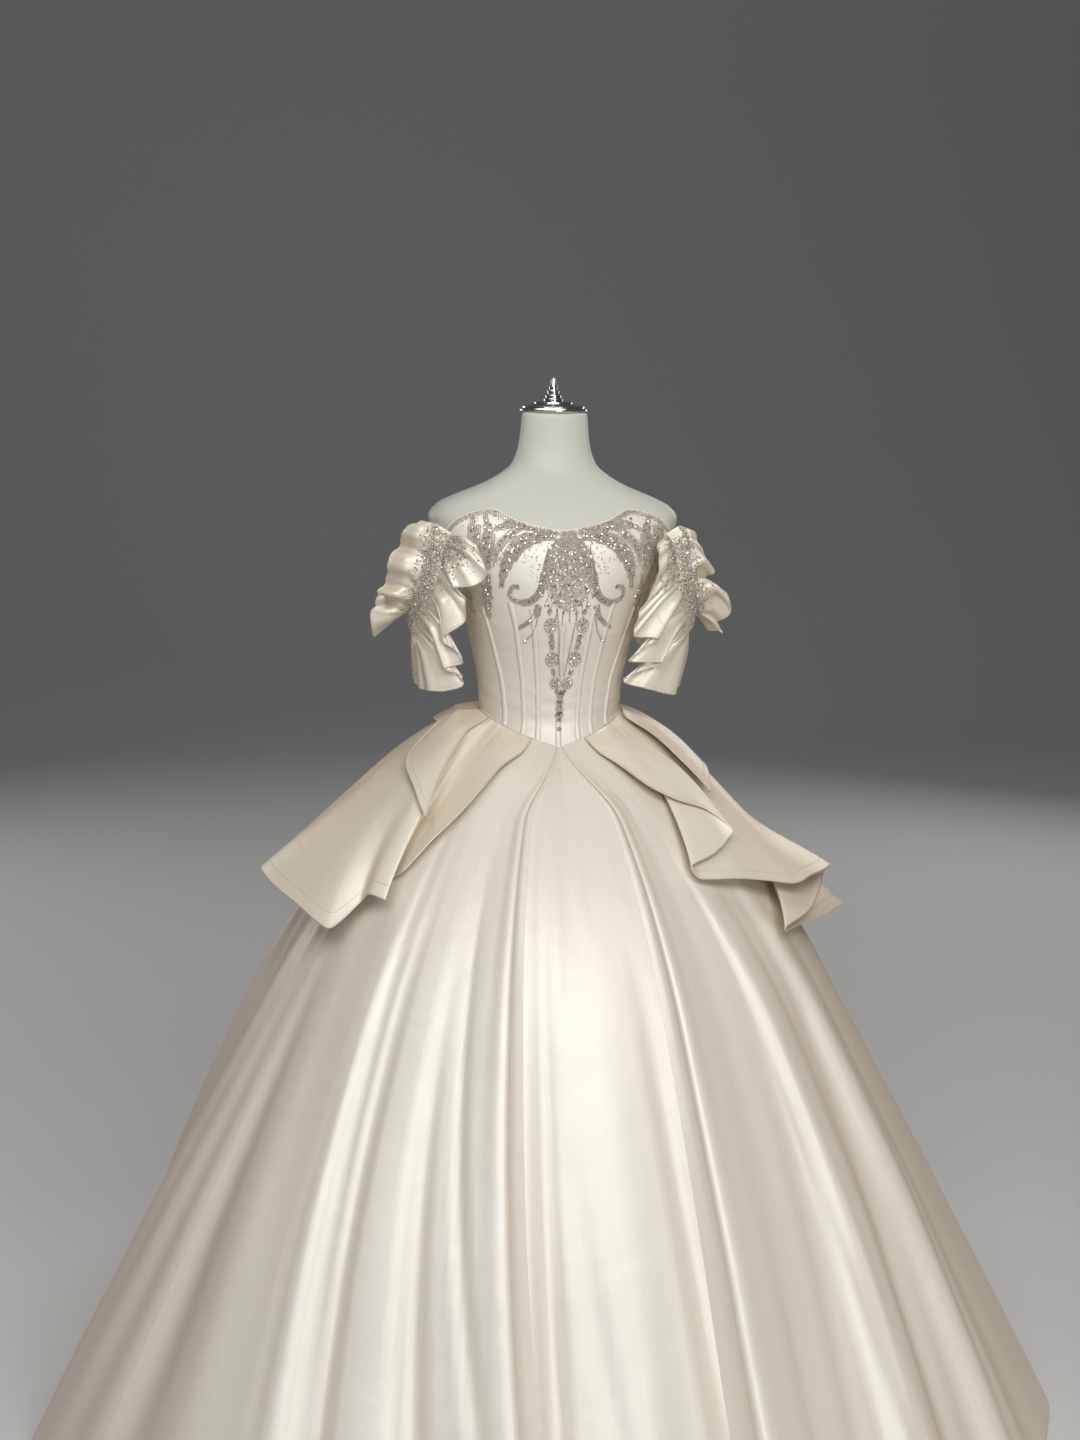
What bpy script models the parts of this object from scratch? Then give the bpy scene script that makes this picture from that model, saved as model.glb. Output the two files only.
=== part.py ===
"""A ball gown of ivory duchess satin on a dress form.

Metres, Z up, front towards -Y. The origin is on the floor under the middle of the waist.
Every cloth piece is a thin wall made from a surface of two parameters, and the tables
below hold one row for each section, seam or fold.
"""

import math

import bmesh
import bpy
import numpy as np

# Driving dimensions, in metres
HEM_HEIGHT = 0.004        # the skirt's hem over the floor
WAIST_HEIGHT = 1.052      # the waist seam at the sides
WAIST_POINT_DROP = 0.046  # how far the seam dips at the centre front
CLOTH_GAP = 0.0006        # between the body's measures and the bodice
FORM_EASE = 0.0014        # the dress form is this much smaller than the body's measures
BODICE_WALL = 0.0020      # outer satin on its corset cloth
SKIRT_WALL = 0.0016
FRILL_WALL = 0.0010       # peplums and sleeves
BONING_RISE = 0.0010      # bone casings, over the bodice
SEAM_HALF_GAP = 0.00016   # pieces stop this far short of their seam line
BAND_HALF_WIDTH = 0.011
BASE_RADIUS = 0.200
BASE_HEIGHT = 0.012
POLE_RADIUS = 0.0145

# Dress form: height, half width, depth to the front, depth to the back, squareness
FORM_SECTIONS = [
    (0.780, 0.150, 0.082, 0.108, 2.00),
    (0.860, 0.163, 0.102, 0.125, 2.00),
    (0.950, 0.148, 0.101, 0.110, 2.00),
    (1.010, 0.123, 0.091, 0.090, 2.00),
    (1.052, 0.1087, 0.081, 0.080, 2.00),
    (1.100, 0.112, 0.086, 0.084, 2.00),
    (1.150, 0.122, 0.098, 0.092, 2.05),
    (1.200, 0.134, 0.113, 0.100, 2.10),
    (1.250, 0.150, 0.117, 0.108, 2.25),
    (1.300, 0.178, 0.109, 0.114, 2.50),
    (1.335, 0.194, 0.096, 0.114, 2.70),
    (1.358, 0.196, 0.085, 0.111, 2.80),
    (1.375, 0.184, 0.075, 0.107, 2.70),
    (1.390, 0.155, 0.065, 0.101, 2.50),
    (1.405, 0.118, 0.055, 0.094, 2.30),
    (1.420, 0.090, 0.045, 0.086, 2.10),
    (1.440, 0.067, 0.036, 0.077, 2.00),
    (1.470, 0.057, 0.029, 0.069, 2.00),
    (1.518, 0.052, 0.025, 0.064, 2.00),
]

# Neckline: angle round the body from the centre front, height
NECKLINE = [(0, 1.342), (12, 1.355), (28, 1.373), (40, 1.366), (55, 1.346),
            (70, 1.318), (90, 1.272), (120, 1.263), (150, 1.261), (180, 1.256)]

# Bodice seams, from the centre front to the centre back: angle at the waist point, waist,
# bust and neckline
BODICE_SEAMS = [
    ("front", 15.0, 16.0, 18.0, 21.0),
    ("side_front", 27.0, 28.0, 31.0, 38.0),
    ("side", 45.0, 46.0, 55.0, 64.0),
    ("side_back", 98.0, 98.0, 100.0, 104.0),
    ("back", 136.0, 136.0, 140.0, 142.0),
]
ZIP_HALF_ANGLE = 4.0

# Skirt hem seen from above: angle from the centre front, radius
HEM_PLAN = [(-180, 0.86), (-135, 0.80), (-90, 0.685), (-55, 0.89), (0, 0.80),
            (55, 0.845), (90, 0.705), (135, 0.80), (180, 0.86)]
# Skirt's side view: share of the drop, share of the flare in front, and at the fuller sides
FLARE = [(0, 0, 0), (0.02, 0.035, 0.041), (0.06, 0.11, 0.129), (0.12, 0.20, 0.235),
         (0.20, 0.30, 0.350), (0.333, 0.433, 0.500), (0.43, 0.513, 0.590), (0.52, 0.588, 0.670),
         (0.66, 0.708, 0.785), (0.75, 0.783, 0.85), (0.87, 0.888, 0.93), (1, 1, 1)]
FOLD_LEVELS = (0.0, 0.1, 0.4, 1.0)
# Skirt folds: angle at the four levels, height of the fold at the last three levels in
# millimetres, half widths of the left and right flanks in degrees of hem
SKIRT_FOLDS = [
    (-180, -180, -180, -180, 0, 14, 34, 9.0, 9.0),
    (-158, -158, -158, -158, 0, 12, 32, 9.0, 8.0),
    (-138, -138, -138, -138, 0, 12, 34, 8.0, 9.0),
    (-118, -118, -118, -118, 0, 10, 20, 9.0, 8.0),
    (-99, -99, -99, -99, 0, 24, 16, 8.0, 9.0),
    (-70, -70, -70, -70, 0, 12, 46, 13.0, 10.0),
    (-38, -42, -40.5, -33, 0, 13, 30, 9.0, 4.0),
    (-14, -29, -29, -24, 0, 3, 10, 3.5, 4.5),
    (-2, -16.8, -15.2, -9.5, 5, 15, 24, 10.0, 2.6),
    (0, 1, 2, 2, 0, 4, 16, 5.5, 6.5),
    (3, 18.3, 17.3, 14.5, 6, 18, 30, 2.6, 9.0),
    (24, 31, 36.8, 32, 0, 16, 34, 3.6, 7.0),
    (44, 46, 51, 45, 0, 14, 32, 4.0, 8.0),
    (68, 68, 68, 66, 0, 2, 14, 8.0, 10.0),
    (92, 92, 92, 91, 0, 12, 32, 9.0, 9.0),
    (114, 114, 114, 114, 0, 12, 34, 8.0, 9.0),
    (136, 136, 136, 136, 0, 12, 34, 9.0, 8.0),
    (158, 158, 158, 158, 0, 12, 32, 8.0, 9.0),
    (180, 180, 180, 180, 0, 14, 34, 9.0, 9.0),
]
# Skirt gores: name, hem angles of the two seams
GORES = [
    ("skirt_front", -7.0, 12.0),
    ("skirt_front_right", 12.0, 57.0),
    ("skirt_side_right", 57.0, 104.0),
    ("skirt_back_right", 104.0, 180.0),
    ("skirt_back_left", -180.0, -108.0),
    ("skirt_side_left", -108.0, -55.0),
    ("skirt_front_left", -55.0, -7.0),
]

FRILL_LEVELS = (0.0, 0.18, 0.55, 1.0)
# Peplums, a row for each edge, ridge or valley from front to back: angle and stand-off at the
# waist, then angle, height and stand-off at the hip, at mid length and at the hem.
# Stand-offs, in millimetres, are out from the skirt.
PEPLUM_LEFT = [
    (-20, 1.4, -21, 1.014, 7, -22, 1.009, 8, -23.5, 1.003, 9),
    (-26, 1.4, -28, 1.013, 11, -28, 1.004, 12.5, -27.5, 0.995, 14.5),
    (-32, 1.4, -35, 1.012, 12.5, -33, 0.998, 15.5, -30.2, 0.987, 19.5),
    (-37, 1.4, -39, 1.012, 12.5, -37, 0.991, 16, -32, 0.972, 24),
    (-42, 1.4, -43, 1.011, 11.5, -41, 0.979, 14.5, -35.6, 0.938, 28.5),
    (-47, 1.4, -47, 1.009, 9, -45, 0.965, 12, -41.5, 0.890, 27),
    (-51, 1.4, -50, 1.008, 9, -47.5, 0.950, 9.5, -45.5, 0.849, 20.5),
    (-55, 1.9, -53.5, 1.010, 11, -50.5, 0.942, 10, -49.5, 0.832, 8),
    (-58, 2.9, -56, 1.018, 22, -51.5, 0.954, 28, -49.5, 0.824, 25),
    (-61, 1.4, -57, 1.024, 33, -48.5, 0.972, 44, -43.9, 0.818, 47),
    (-66, 1.4, -61, 1.028, 39.5, -52, 0.966, 54.5, -47.5, 0.823, 53),
    (-72, 1.4, -66, 1.030, 41.5, -57, 0.956, 52.5, -50.5, 0.808, 39),
    (-79, 1.4, -73, 1.031, 41.5, -63, 0.944, 55.5, -51.5, 0.777, 69),
    (-87, 1.4, -81, 1.031, 42, -71, 0.934, 63.5, -61, 0.797, 83.5),
    (-95, 1.4, -88, 1.030, 42, -81, 0.926, 72, -80, 0.819, 127.5),
    (-104, 1.4, -98, 1.030, 41.5, -92, 0.924, 69, -90, 0.806, 105),
    (-113, 1.4, -108, 1.029, 38, -104, 0.915, 49, -103, 0.790, 50.5),
    (-124, 1.4, -120, 1.028, 37.5, -118, 0.912, 69, -118, 0.775, 97.5),
    (-136, 1.4, -134, 1.028, 37, -133, 0.915, 68.5, -134, 0.780, 99),
    (-148, 1.4, -147, 1.028, 33, -147, 0.920, 42, -147, 0.800, 42),
    (-159, 1.4, -158, 1.030, 31.5, -158, 0.930, 52.5, -159, 0.810, 65),
    (-172, 1.4, -172, 1.032, 24, -172, 0.940, 31, -172, 0.840, 27.5),
]
PEPLUM_RIGHT = [
    (20, 1.4, 21, 1.013, 7, 22, 1.008, 8, 23.5, 1.001, 9.5),
    (25, 2.4, 26, 1.013, 10.5, 27, 1.003, 12.5, 26.5, 0.993, 15),
    (31, 5.4, 31, 1.013, 14.5, 31, 0.998, 19, 28.8, 0.983, 21),
    (37, 8.4, 36, 1.014, 20.5, 35, 0.990, 25.5, 32.9, 0.961, 29.5),
    (43, 9.4, 41, 1.014, 24, 40, 0.982, 31, 39.1, 0.942, 38.5),
    (49, 10.4, 46, 1.014, 28, 45.5, 0.976, 41, 46.7, 0.924, 49),
    (54, 11.4, 51, 1.014, 34, 50, 0.970, 51, 48.4, 0.899, 60),
    (56, 8.4, 52, 1.009, 27.5, 49.5, 0.962, 39.5, 45.7, 0.884, 47),
    (55, 5.9, 48, 1.004, 20.5, 44, 0.950, 30, 39.6, 0.870, 40),
    (53, 1.4, 44, 0.999, 14.5, 38, 0.938, 21.5, 31.3, 0.856, 30.5),
    (55, 0.9, 46, 0.997, 10, 39, 0.930, 14, 33.2, 0.838, 21.5),
    (61, 0.9, 53, 1.000, 10.5, 47, 0.926, 20, 43.5, 0.832, 35.5),
    (68, 1.4, 62, 1.004, 17, 57, 0.920, 29, 51.4, 0.822, 47.5),
    (75, 0.9, 70, 1.006, 23.5, 66, 0.912, 39, 57.8, 0.813, 67),
    (82, 1.4, 77, 1.006, 26, 74, 0.904, 34, 63.7, 0.818, 85),
    (87.5, 1.4, 83, 1.005, 25.5, 81, 0.898, 28.5, 76, 0.813, 107.5),
    (91, 1.4, 87, 1.003, 23.5, 84.3, 0.888, 25.5, 82, 0.792, 93.5),
    (92.5, 1.4, 87.8, 1.002, 19.5, 84, 0.883, 21, 81.3, 0.787, 86),
    (95, 0.9, 88, 1.000, 15.5, 77, 0.873, 17.5, 67, 0.775, 58.5),
    (97.5, 1.4, 89.2, 0.999, 11.5, 68, 0.868, 18.5, 48.5, 0.759, 41.5),
    (98.5, 1.4, 90, 0.998, 10.5, 68.5, 0.864, 13, 49, 0.753, 36),
    (101, 0.9, 92, 0.998, 8, 73, 0.858, 6, 58, 0.748, 28),
    (105, 1.4, 97, 1.002, 12, 82, 0.858, 12, 77, 0.736, 63.5),
    (111, 0.9, 105, 1.014, 23, 98, 0.870, 40.5, 91.5, 0.721, 95.5),
    (120, 1.4, 117, 1.024, 28, 111, 0.900, 48.5, 107, 0.760, 56.5),
    (131, 1.4, 129, 1.028, 28.5, 125, 0.912, 60, 122, 0.775, 96.5),
    (143, 1.4, 142, 1.028, 28, 139, 0.920, 43.5, 138, 0.800, 48.5),
    (156, 1.4, 155, 1.030, 27.5, 154, 0.925, 51, 153, 0.800, 71),
    (172, 1.4, 172, 1.032, 24, 172, 0.940, 31, 172, 0.840, 27.5),
]
# Short upper tiers of the peplums, rows as above
TIER_LEFT = [
    (-62, 3.8, -56, 1.030, 44.5, -49, 0.990, 58.5, -43.4, 0.927, 61.5),
    (-69, 3.2, -62, 1.038, 49.5, -58, 1.008, 63.5, -53, 0.962, 67),
    (-77, 3.1, -71, 1.045, 50, -69, 1.024, 63, -66.5, 0.992, 70),
    (-86, 3.1, -84, 1.054, 38, -84, 1.048, 46, -84, 1.037, 53),
    (-100, 3.1, -100, 1.054, 38, -100, 1.047, 46, -100, 1.035, 53.5),
    (-115, 3.1, -115, 1.052, 36, -115, 1.045, 44.5, -115, 1.033, 51.5),
    (-130, 3.1, -130, 1.050, 34, -130, 1.042, 42.5, -130, 1.030, 49),
]
TIER_RIGHT = [
    (62, 12, 58, 1.022, 42.5, 53, 0.990, 56, 50.7, 0.949, 65),
    (70, 8, 66, 1.027, 42.5, 61, 1.002, 54, 57, 0.964, 60.5),
    (78, 4.5, 75, 1.031, 38, 72, 1.006, 46.5, 70, 0.972, 46),
    (87, 3.2, 84, 1.033, 30, 84, 1.006, 38.5, 84, 0.971, 33),
    (100, 3.1, 98, 1.036, 32, 98, 1.016, 39, 98, 0.988, 38),
    (114, 3.1, 113, 1.042, 33.5, 113, 1.028, 41.5, 113, 1.006, 46.5),
    (128, 3.1, 128, 1.047, 34.5, 128, 1.037, 43, 128, 1.020, 50),
]

# Sleeve band: share of its length, then x, y, z of its middle line. Left sleeve as seen from
# the front; the right band is its mirror image.
BAND = [
    (0.00, -0.1765, -0.0666, 1.3417),
    (0.09, -0.1880, -0.078, 1.323),
    (0.20, -0.1970, -0.079, 1.280),
    (0.28, -0.2060, -0.070, 1.252),
    (0.38, -0.2170, -0.050, 1.221),
    (0.50, -0.2250, -0.015, 1.196),
    (0.60, -0.2230, 0.025, 1.202),
    (0.72, -0.2100, 0.064, 1.232),
    (0.86, -0.1860, 0.090, 1.262),
    (1.00, -0.1350, 0.0745, 1.272),
]
# Sleeve frills, a row for each ridge or valley: share of the band's length, then x, y, z at
# mid depth and at the hem
OUTER_LEFT = [
    (0.00, -0.200, -0.072, 1.352, -0.214, -0.064, 1.354),
    (0.10, -0.219, -0.082, 1.337, -0.240, -0.062, 1.339),
    (0.16, -0.222, -0.066, 1.312, -0.243, -0.042, 1.316),
    (0.24, -0.236, -0.078, 1.288, -0.262, -0.058, 1.293),
    (0.32, -0.236, -0.056, 1.256, -0.263, -0.030, 1.259),
    (0.38, -0.250, -0.058, 1.240, -0.276, -0.040, 1.243),
    (0.44, -0.244, -0.036, 1.222, -0.262, -0.016, 1.228),
    (0.50, -0.262, -0.032, 1.204, -0.287, -0.026, 1.208),
    (0.58, -0.256, 0.004, 1.186, -0.279, 0.002, 1.168),
    (0.66, -0.248, 0.042, 1.202, -0.262, 0.042, 1.190),
    (0.74, -0.250, 0.080, 1.222, -0.272, 0.082, 1.212),
    (0.82, -0.232, 0.096, 1.244, -0.248, 0.102, 1.236),
    (0.90, -0.220, 0.120, 1.262, -0.236, 0.130, 1.256),
    (1.00, -0.178, 0.116, 1.280, -0.190, 0.128, 1.284),
]
INNER_LEFT = [
    (0.02, -0.156, -0.104, 1.334, -0.134, -0.116, 1.322),
    (0.07, -0.150, -0.114, 1.310, -0.121, -0.127, 1.282),
    (0.11, -0.158, -0.112, 1.292, -0.140, -0.124, 1.262),
    (0.15, -0.176, -0.104, 1.278, -0.168, -0.114, 1.258),
    (0.19, -0.172, -0.102, 1.262, -0.150, -0.108, 1.238),
    (0.24, -0.172, -0.100, 1.242, -0.149, -0.104, 1.208),
    (0.29, -0.190, -0.094, 1.226, -0.184, -0.098, 1.178),
    (0.33, -0.184, -0.090, 1.206, -0.160, -0.093, 1.158),
    (0.36, -0.184, -0.087, 1.194, -0.150, -0.089, 1.140),
    (0.40, -0.197, -0.082, 1.184, -0.178, -0.084, 1.130),
    (0.43, -0.192, -0.077, 1.172, -0.152, -0.079, 1.118),
    (0.46, -0.192, -0.072, 1.162, -0.148, -0.074, 1.103),
    (0.50, -0.206, -0.062, 1.156, -0.184, -0.066, 1.092),
    (0.55, -0.216, -0.040, 1.152, -0.208, -0.042, 1.092),
    (0.62, -0.220, -0.004, 1.150, -0.216, -0.006, 1.099),
    (0.69, -0.217, 0.040, 1.156, -0.214, 0.040, 1.100),
    (0.76, -0.206, 0.074, 1.174, -0.202, 0.074, 1.108),
    (0.85, -0.184, 0.098, 1.196, -0.178, 0.100, 1.125),
    (0.93, -0.160, 0.102, 1.214, -0.152, 0.106, 1.155),
    (1.00, -0.142, 0.096, 1.238, -0.136, 0.100, 1.205),
]
OUTER_RIGHT = [
    (0.00, 0.200, -0.076, 1.344, 0.210, -0.068, 1.340),
    (0.10, 0.208, -0.080, 1.322, 0.226, -0.062, 1.309),
    (0.20, 0.226, -0.074, 1.296, 0.248, -0.052, 1.276),
    (0.26, 0.222, -0.054, 1.272, 0.236, -0.034, 1.262),
    (0.34, 0.244, -0.054, 1.256, 0.269, -0.042, 1.244),
    (0.42, 0.256, -0.036, 1.232, 0.284, -0.026, 1.208),
    (0.48, 0.248, -0.014, 1.204, 0.268, -0.004, 1.190),
    (0.54, 0.256, 0.000, 1.192, 0.279, 0.004, 1.172),
    (0.60, 0.246, 0.026, 1.194, 0.260, 0.032, 1.176),
    (0.68, 0.250, 0.058, 1.212, 0.268, 0.064, 1.196),
    (0.76, 0.234, 0.078, 1.234, 0.246, 0.086, 1.222),
    (0.84, 0.228, 0.108, 1.250, 0.248, 0.120, 1.244),
    (0.92, 0.206, 0.112, 1.270, 0.218, 0.126, 1.266),
    (1.00, 0.178, 0.116, 1.280, 0.190, 0.128, 1.284),
]
INNER_RIGHT = [
    (0.02, 0.162, -0.100, 1.336, 0.145, -0.112, 1.324),
    (0.08, 0.163, -0.108, 1.312, 0.147, -0.120, 1.296),
    (0.14, 0.162, -0.110, 1.284, 0.138, -0.122, 1.256),
    (0.20, 0.160, -0.108, 1.258, 0.118, -0.120, 1.220),
    (0.24, 0.160, -0.104, 1.240, 0.110, -0.114, 1.184),
    (0.28, 0.180, -0.098, 1.228, 0.150, -0.106, 1.178),
    (0.32, 0.170, -0.094, 1.214, 0.122, -0.100, 1.156),
    (0.35, 0.170, -0.091, 1.206, 0.108, -0.097, 1.142),
    (0.39, 0.188, -0.084, 1.190, 0.162, -0.088, 1.138),
    (0.43, 0.180, -0.075, 1.176, 0.122, -0.080, 1.120),
    (0.46, 0.180, -0.072, 1.168, 0.104, -0.077, 1.107),
    (0.50, 0.192, -0.066, 1.162, 0.146, -0.074, 1.094),
    (0.56, 0.210, -0.044, 1.154, 0.190, -0.052, 1.082),
    (0.62, 0.218, -0.010, 1.150, 0.206, -0.014, 1.096),
    (0.69, 0.217, 0.040, 1.156, 0.212, 0.040, 1.100),
    (0.77, 0.206, 0.074, 1.174, 0.202, 0.074, 1.108),
    (0.85, 0.184, 0.098, 1.196, 0.178, 0.100, 1.125),
    (0.93, 0.160, 0.102, 1.214, 0.152, 0.106, 1.155),
    (1.00, 0.142, 0.096, 1.238, 0.136, 0.100, 1.205),
]


# Curves and surfaces

def through(knots, values, at):
    """A smooth curve through the values, without overshoot, read at each entry of at."""
    at = np.asarray(at, float)
    knots = np.asarray(knots, float)
    values = [np.broadcast_to(np.asarray(v, float), at.shape) for v in values]
    steps = np.diff(knots)
    rates = [(b - a) / s for a, b, s in zip(values, values[1:], steps)]
    slopes = [rates[0]]
    for i in range(1, len(rates)):
        a, b = rates[i - 1], rates[i]
        wa, wb = 2 * steps[i] + steps[i - 1], steps[i] + 2 * steps[i - 1]
        safe_a = np.where(a * b > 0, a, 1.0)
        safe_b = np.where(a * b > 0, b, 1.0)
        slopes.append(np.where(a * b > 0, (wa + wb) / (wa / safe_a + wb / safe_b), 0.0))
    slopes.append(rates[-1])
    result = np.zeros(at.shape)
    place = np.clip(np.searchsorted(knots, at, side="right") - 1, 0, len(steps) - 1)
    for i, step in enumerate(steps):
        here = place == i
        t = np.clip((at - knots[i]) / step, 0.0, 1.0)
        shape = ((2 * t**3 - 3 * t**2 + 1) * values[i] + (t**3 - 2 * t**2 + t) * step * slopes[i]
                 + (3 * t**2 - 2 * t**3) * values[i + 1] + (t**3 - t**2) * step * slopes[i + 1])
        result = np.where(here, shape, result)
    return result


def column(table, index):
    return [row[index] for row in table]


def along(table, index, at):
    """One column of a table, read by its first column."""
    return through(column(table, 0), column(table, index), at)


def signed_power(value, power):
    return np.sign(value) * np.abs(value) ** power


def form_point(angle, height, off):
    """A point at a distance off outside the dress form; the angle in degrees is 0 at the front."""
    s, c = np.sin(np.radians(angle)), np.cos(np.radians(angle))
    width = along(FORM_SECTIONS, 1, height) + off
    depth = np.where(c > 0, along(FORM_SECTIONS, 2, height), along(FORM_SECTIONS, 3, height)) + off
    power = 2.0 / along(FORM_SECTIONS, 4, height)
    return np.stack([width * signed_power(s, power), -depth * signed_power(c, power),
                     height + 0 * s], axis=-1)


def waist_height(angle):
    s, c = np.sin(np.radians(angle)), np.cos(np.radians(angle))
    dip = np.where(c > 0, (1.0 - np.minimum(np.abs(s), 1.0)) ** 0.85, 0.0)
    return WAIST_HEIGHT - WAIST_POINT_DROP * dip


def skirt_at(angle, drop, stand):
    """The skirt before its folds, stand out from it, at a share of its drop."""
    s, c = np.sin(np.radians(angle)), np.cos(np.radians(angle))
    top = form_point(angle, waist_height(angle), CLOTH_GAP + BODICE_WALL + 0.0008)
    reach = along(HEM_PLAN, 1, angle) - np.hypot(top[..., 0], top[..., 1])
    fuller = np.minimum(np.abs(s), 1.0) ** 14
    share = along(FLARE, 1, drop) * (1 - fuller) + along(FLARE, 2, drop) * fuller
    out = reach * share + stand
    height = waist_height(angle) * (1 - drop) + HEM_HEIGHT * drop - 0.0003
    return np.stack([top[..., 0] + s * out, top[..., 1] - c * out, height], axis=-1)


def skirt(hem_angle, drop):
    """The outer face of the folded skirt."""
    hem_angle, drop = np.broadcast_arrays(np.asarray(hem_angle, float), np.asarray(drop, float))
    hems = column(SKIRT_FOLDS, 3)
    angle = through(FOLD_LEVELS, [through(hems, column(SKIRT_FOLDS, i), hem_angle)
                                  for i in range(4)], drop)
    rise = np.zeros(hem_angle.shape)
    for row in SKIRT_FOLDS:
        height = through(FOLD_LEVELS, (0.0,) + tuple(h / 1000 for h in row[4:7]), drop)
        away = hem_angle - row[3]
        reach = np.clip(np.where(away < 0, -away / row[7], away / row[8]), 0.0, 1.0)
        rise = rise + height * np.cos(reach * math.pi / 2) ** 2
    return skirt_at(angle, drop, rise)


def peplum(table):
    """A frill hung from the waist over the skirt, by row number and share of its depth."""
    rows = np.arange(len(table))

    def surface(u, v):
        u, v = np.broadcast_arrays(np.asarray(u, float), np.asarray(v, float))

        def level(index):
            return through(rows, column(table, index), u)
        angle = through(FRILL_LEVELS, [level(0), level(2), level(5), level(8)], v)
        top = waist_height(level(0)) + (level(1) - 2.4) * 0.0008
        height = through(FRILL_LEVELS, [top, level(3), level(6), level(9)], v)
        stand = through(FRILL_LEVELS, [level(1), level(4), level(7), level(10)], v) / 1000
        drop = (waist_height(angle) - height) / (waist_height(angle) - HEM_HEIGHT)
        point = skirt_at(angle, np.maximum(drop, 0.0), stand)
        point[..., 2] = height
        return point
    return surface


def band_frame(share, side):
    """The middle of a sleeve band, and the directions across it and out of it."""
    share = np.clip(np.asarray(share, float), 0.0, 1.0)

    def middle(at):
        return np.stack([side * -along(BAND, 1, at), along(BAND, 2, at), along(BAND, 3, at)],
                        axis=-1)
    point = middle(share)
    ahead = middle(np.minimum(share + 0.01, 1.0)) - middle(np.maximum(share - 0.01, 0.0))
    ahead /= np.linalg.norm(ahead, axis=-1, keepdims=True)
    out = point - np.array([side * 0.172, 0.004, 0.0])
    out[..., 2] = 0.0
    out /= np.linalg.norm(out, axis=-1, keepdims=True)
    across = np.cross(ahead, out) * -side
    across /= np.linalg.norm(across, axis=-1, keepdims=True)
    return point, across, out


def band(side):
    def surface(u, v):
        point, across, out = band_frame(u, side)
        return point + across * (BAND_HALF_WIDTH * v)[..., None]
    return surface


def frill(table, side, edge):
    """A sleeve frill from one edge of its band: edge +1 is the outer, -1 the inner."""
    rows = np.arange(len(table))

    def surface(u, v):
        u, v = np.broadcast_arrays(np.asarray(u, float), np.asarray(v, float))

        def level(index):
            return through(rows, column(table, index), u)
        point, across, out = band_frame(level(0), side)
        root = point + across * edge * (BAND_HALF_WIDTH + 0.0013)
        parts = [through((0.0, 0.5, 1.0), [root[..., k], level(1 + k), level(4 + k)], v)
                 for k in range(3)]
        return np.stack(parts, axis=-1)
    return surface


# Building meshes

def material(name, colour, roughness, metallic=0.0):
    made = bpy.data.materials.new(name)
    made.use_nodes = True
    shader = made.node_tree.nodes["Principled BSDF"]
    shader.inputs["Base Color"].default_value = (*colour, 1.0)
    shader.inputs["Roughness"].default_value = roughness
    shader.inputs["Metallic"].default_value = metallic
    return made


def finish(bm, name, look, smooth=True):
    bmesh.ops.recalc_face_normals(bm, faces=bm.faces)
    if bm.calc_volume(signed=True) < 0:
        bmesh.ops.reverse_faces(bm, faces=bm.faces)
    mesh = bpy.data.meshes.new(name)
    bm.to_mesh(mesh)
    bm.free()
    if smooth:
        mesh.shade_smooth()
    mesh.materials.append(look)
    made = bpy.data.objects.new(name, mesh)
    bpy.context.scene.collection.objects.link(made)
    return made


def grid_normals(points):
    """Unit normals of a grid of points: the mean of the unit normals of the cells around each."""
    edge_u = points[:-1, 1:] + points[1:, 1:] - points[:-1, :-1] - points[1:, :-1]
    edge_v = points[1:, :-1] + points[1:, 1:] - points[:-1, :-1] - points[:-1, 1:]
    cells = np.cross(edge_u, edge_v)
    cells /= np.maximum(np.linalg.norm(cells, axis=-1, keepdims=True), 1e-12)
    total = np.zeros(points.shape)
    for rows in (slice(None, -1), slice(1, None)):
        for columns in (slice(None, -1), slice(1, None)):
            total[rows, columns] += cells
    return total / np.maximum(np.linalg.norm(total, axis=-1, keepdims=True), 1e-12)


def walled(name, outer, inner, look):
    """A closed wall between two grids of points of the same size, cut into like triangles."""
    rows, columns = outer.shape[:2]
    bm = bmesh.new()
    bmesh.ops.create_grid(bm, x_segments=columns - 1, y_segments=rows - 1, size=1.0)
    bmesh.ops.triangulate(bm, faces=bm.faces, quad_method="FIXED")
    places = {}
    for vert in bm.verts:
        j = round((vert.co.x + 1) / 2 * (columns - 1))
        i = round((vert.co.y + 1) / 2 * (rows - 1))
        places[vert] = (i, j)
    face_side = list(bm.faces)
    copy = bmesh.ops.duplicate(bm, geom=list(bm.verts) + list(bm.edges) + list(bm.faces))
    twins = {a: b for a, b in copy["vert_map"].items() if a in places}
    back_faces = [e for e in copy["geom"] if isinstance(e, bmesh.types.BMFace)]
    bmesh.ops.reverse_faces(bm, faces=back_faces)
    rim = [e for face in face_side for e in face.edges if len(e.link_faces) == 1]
    for edge in rim:
        a, b = edge.verts
        bm.faces.new((a, b, twins[b], twins[a]))
    for vert, (i, j) in places.items():
        vert.co = outer[i, j]
        twins[vert].co = inner[i, j]
    return finish(bm, name, look)


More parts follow.
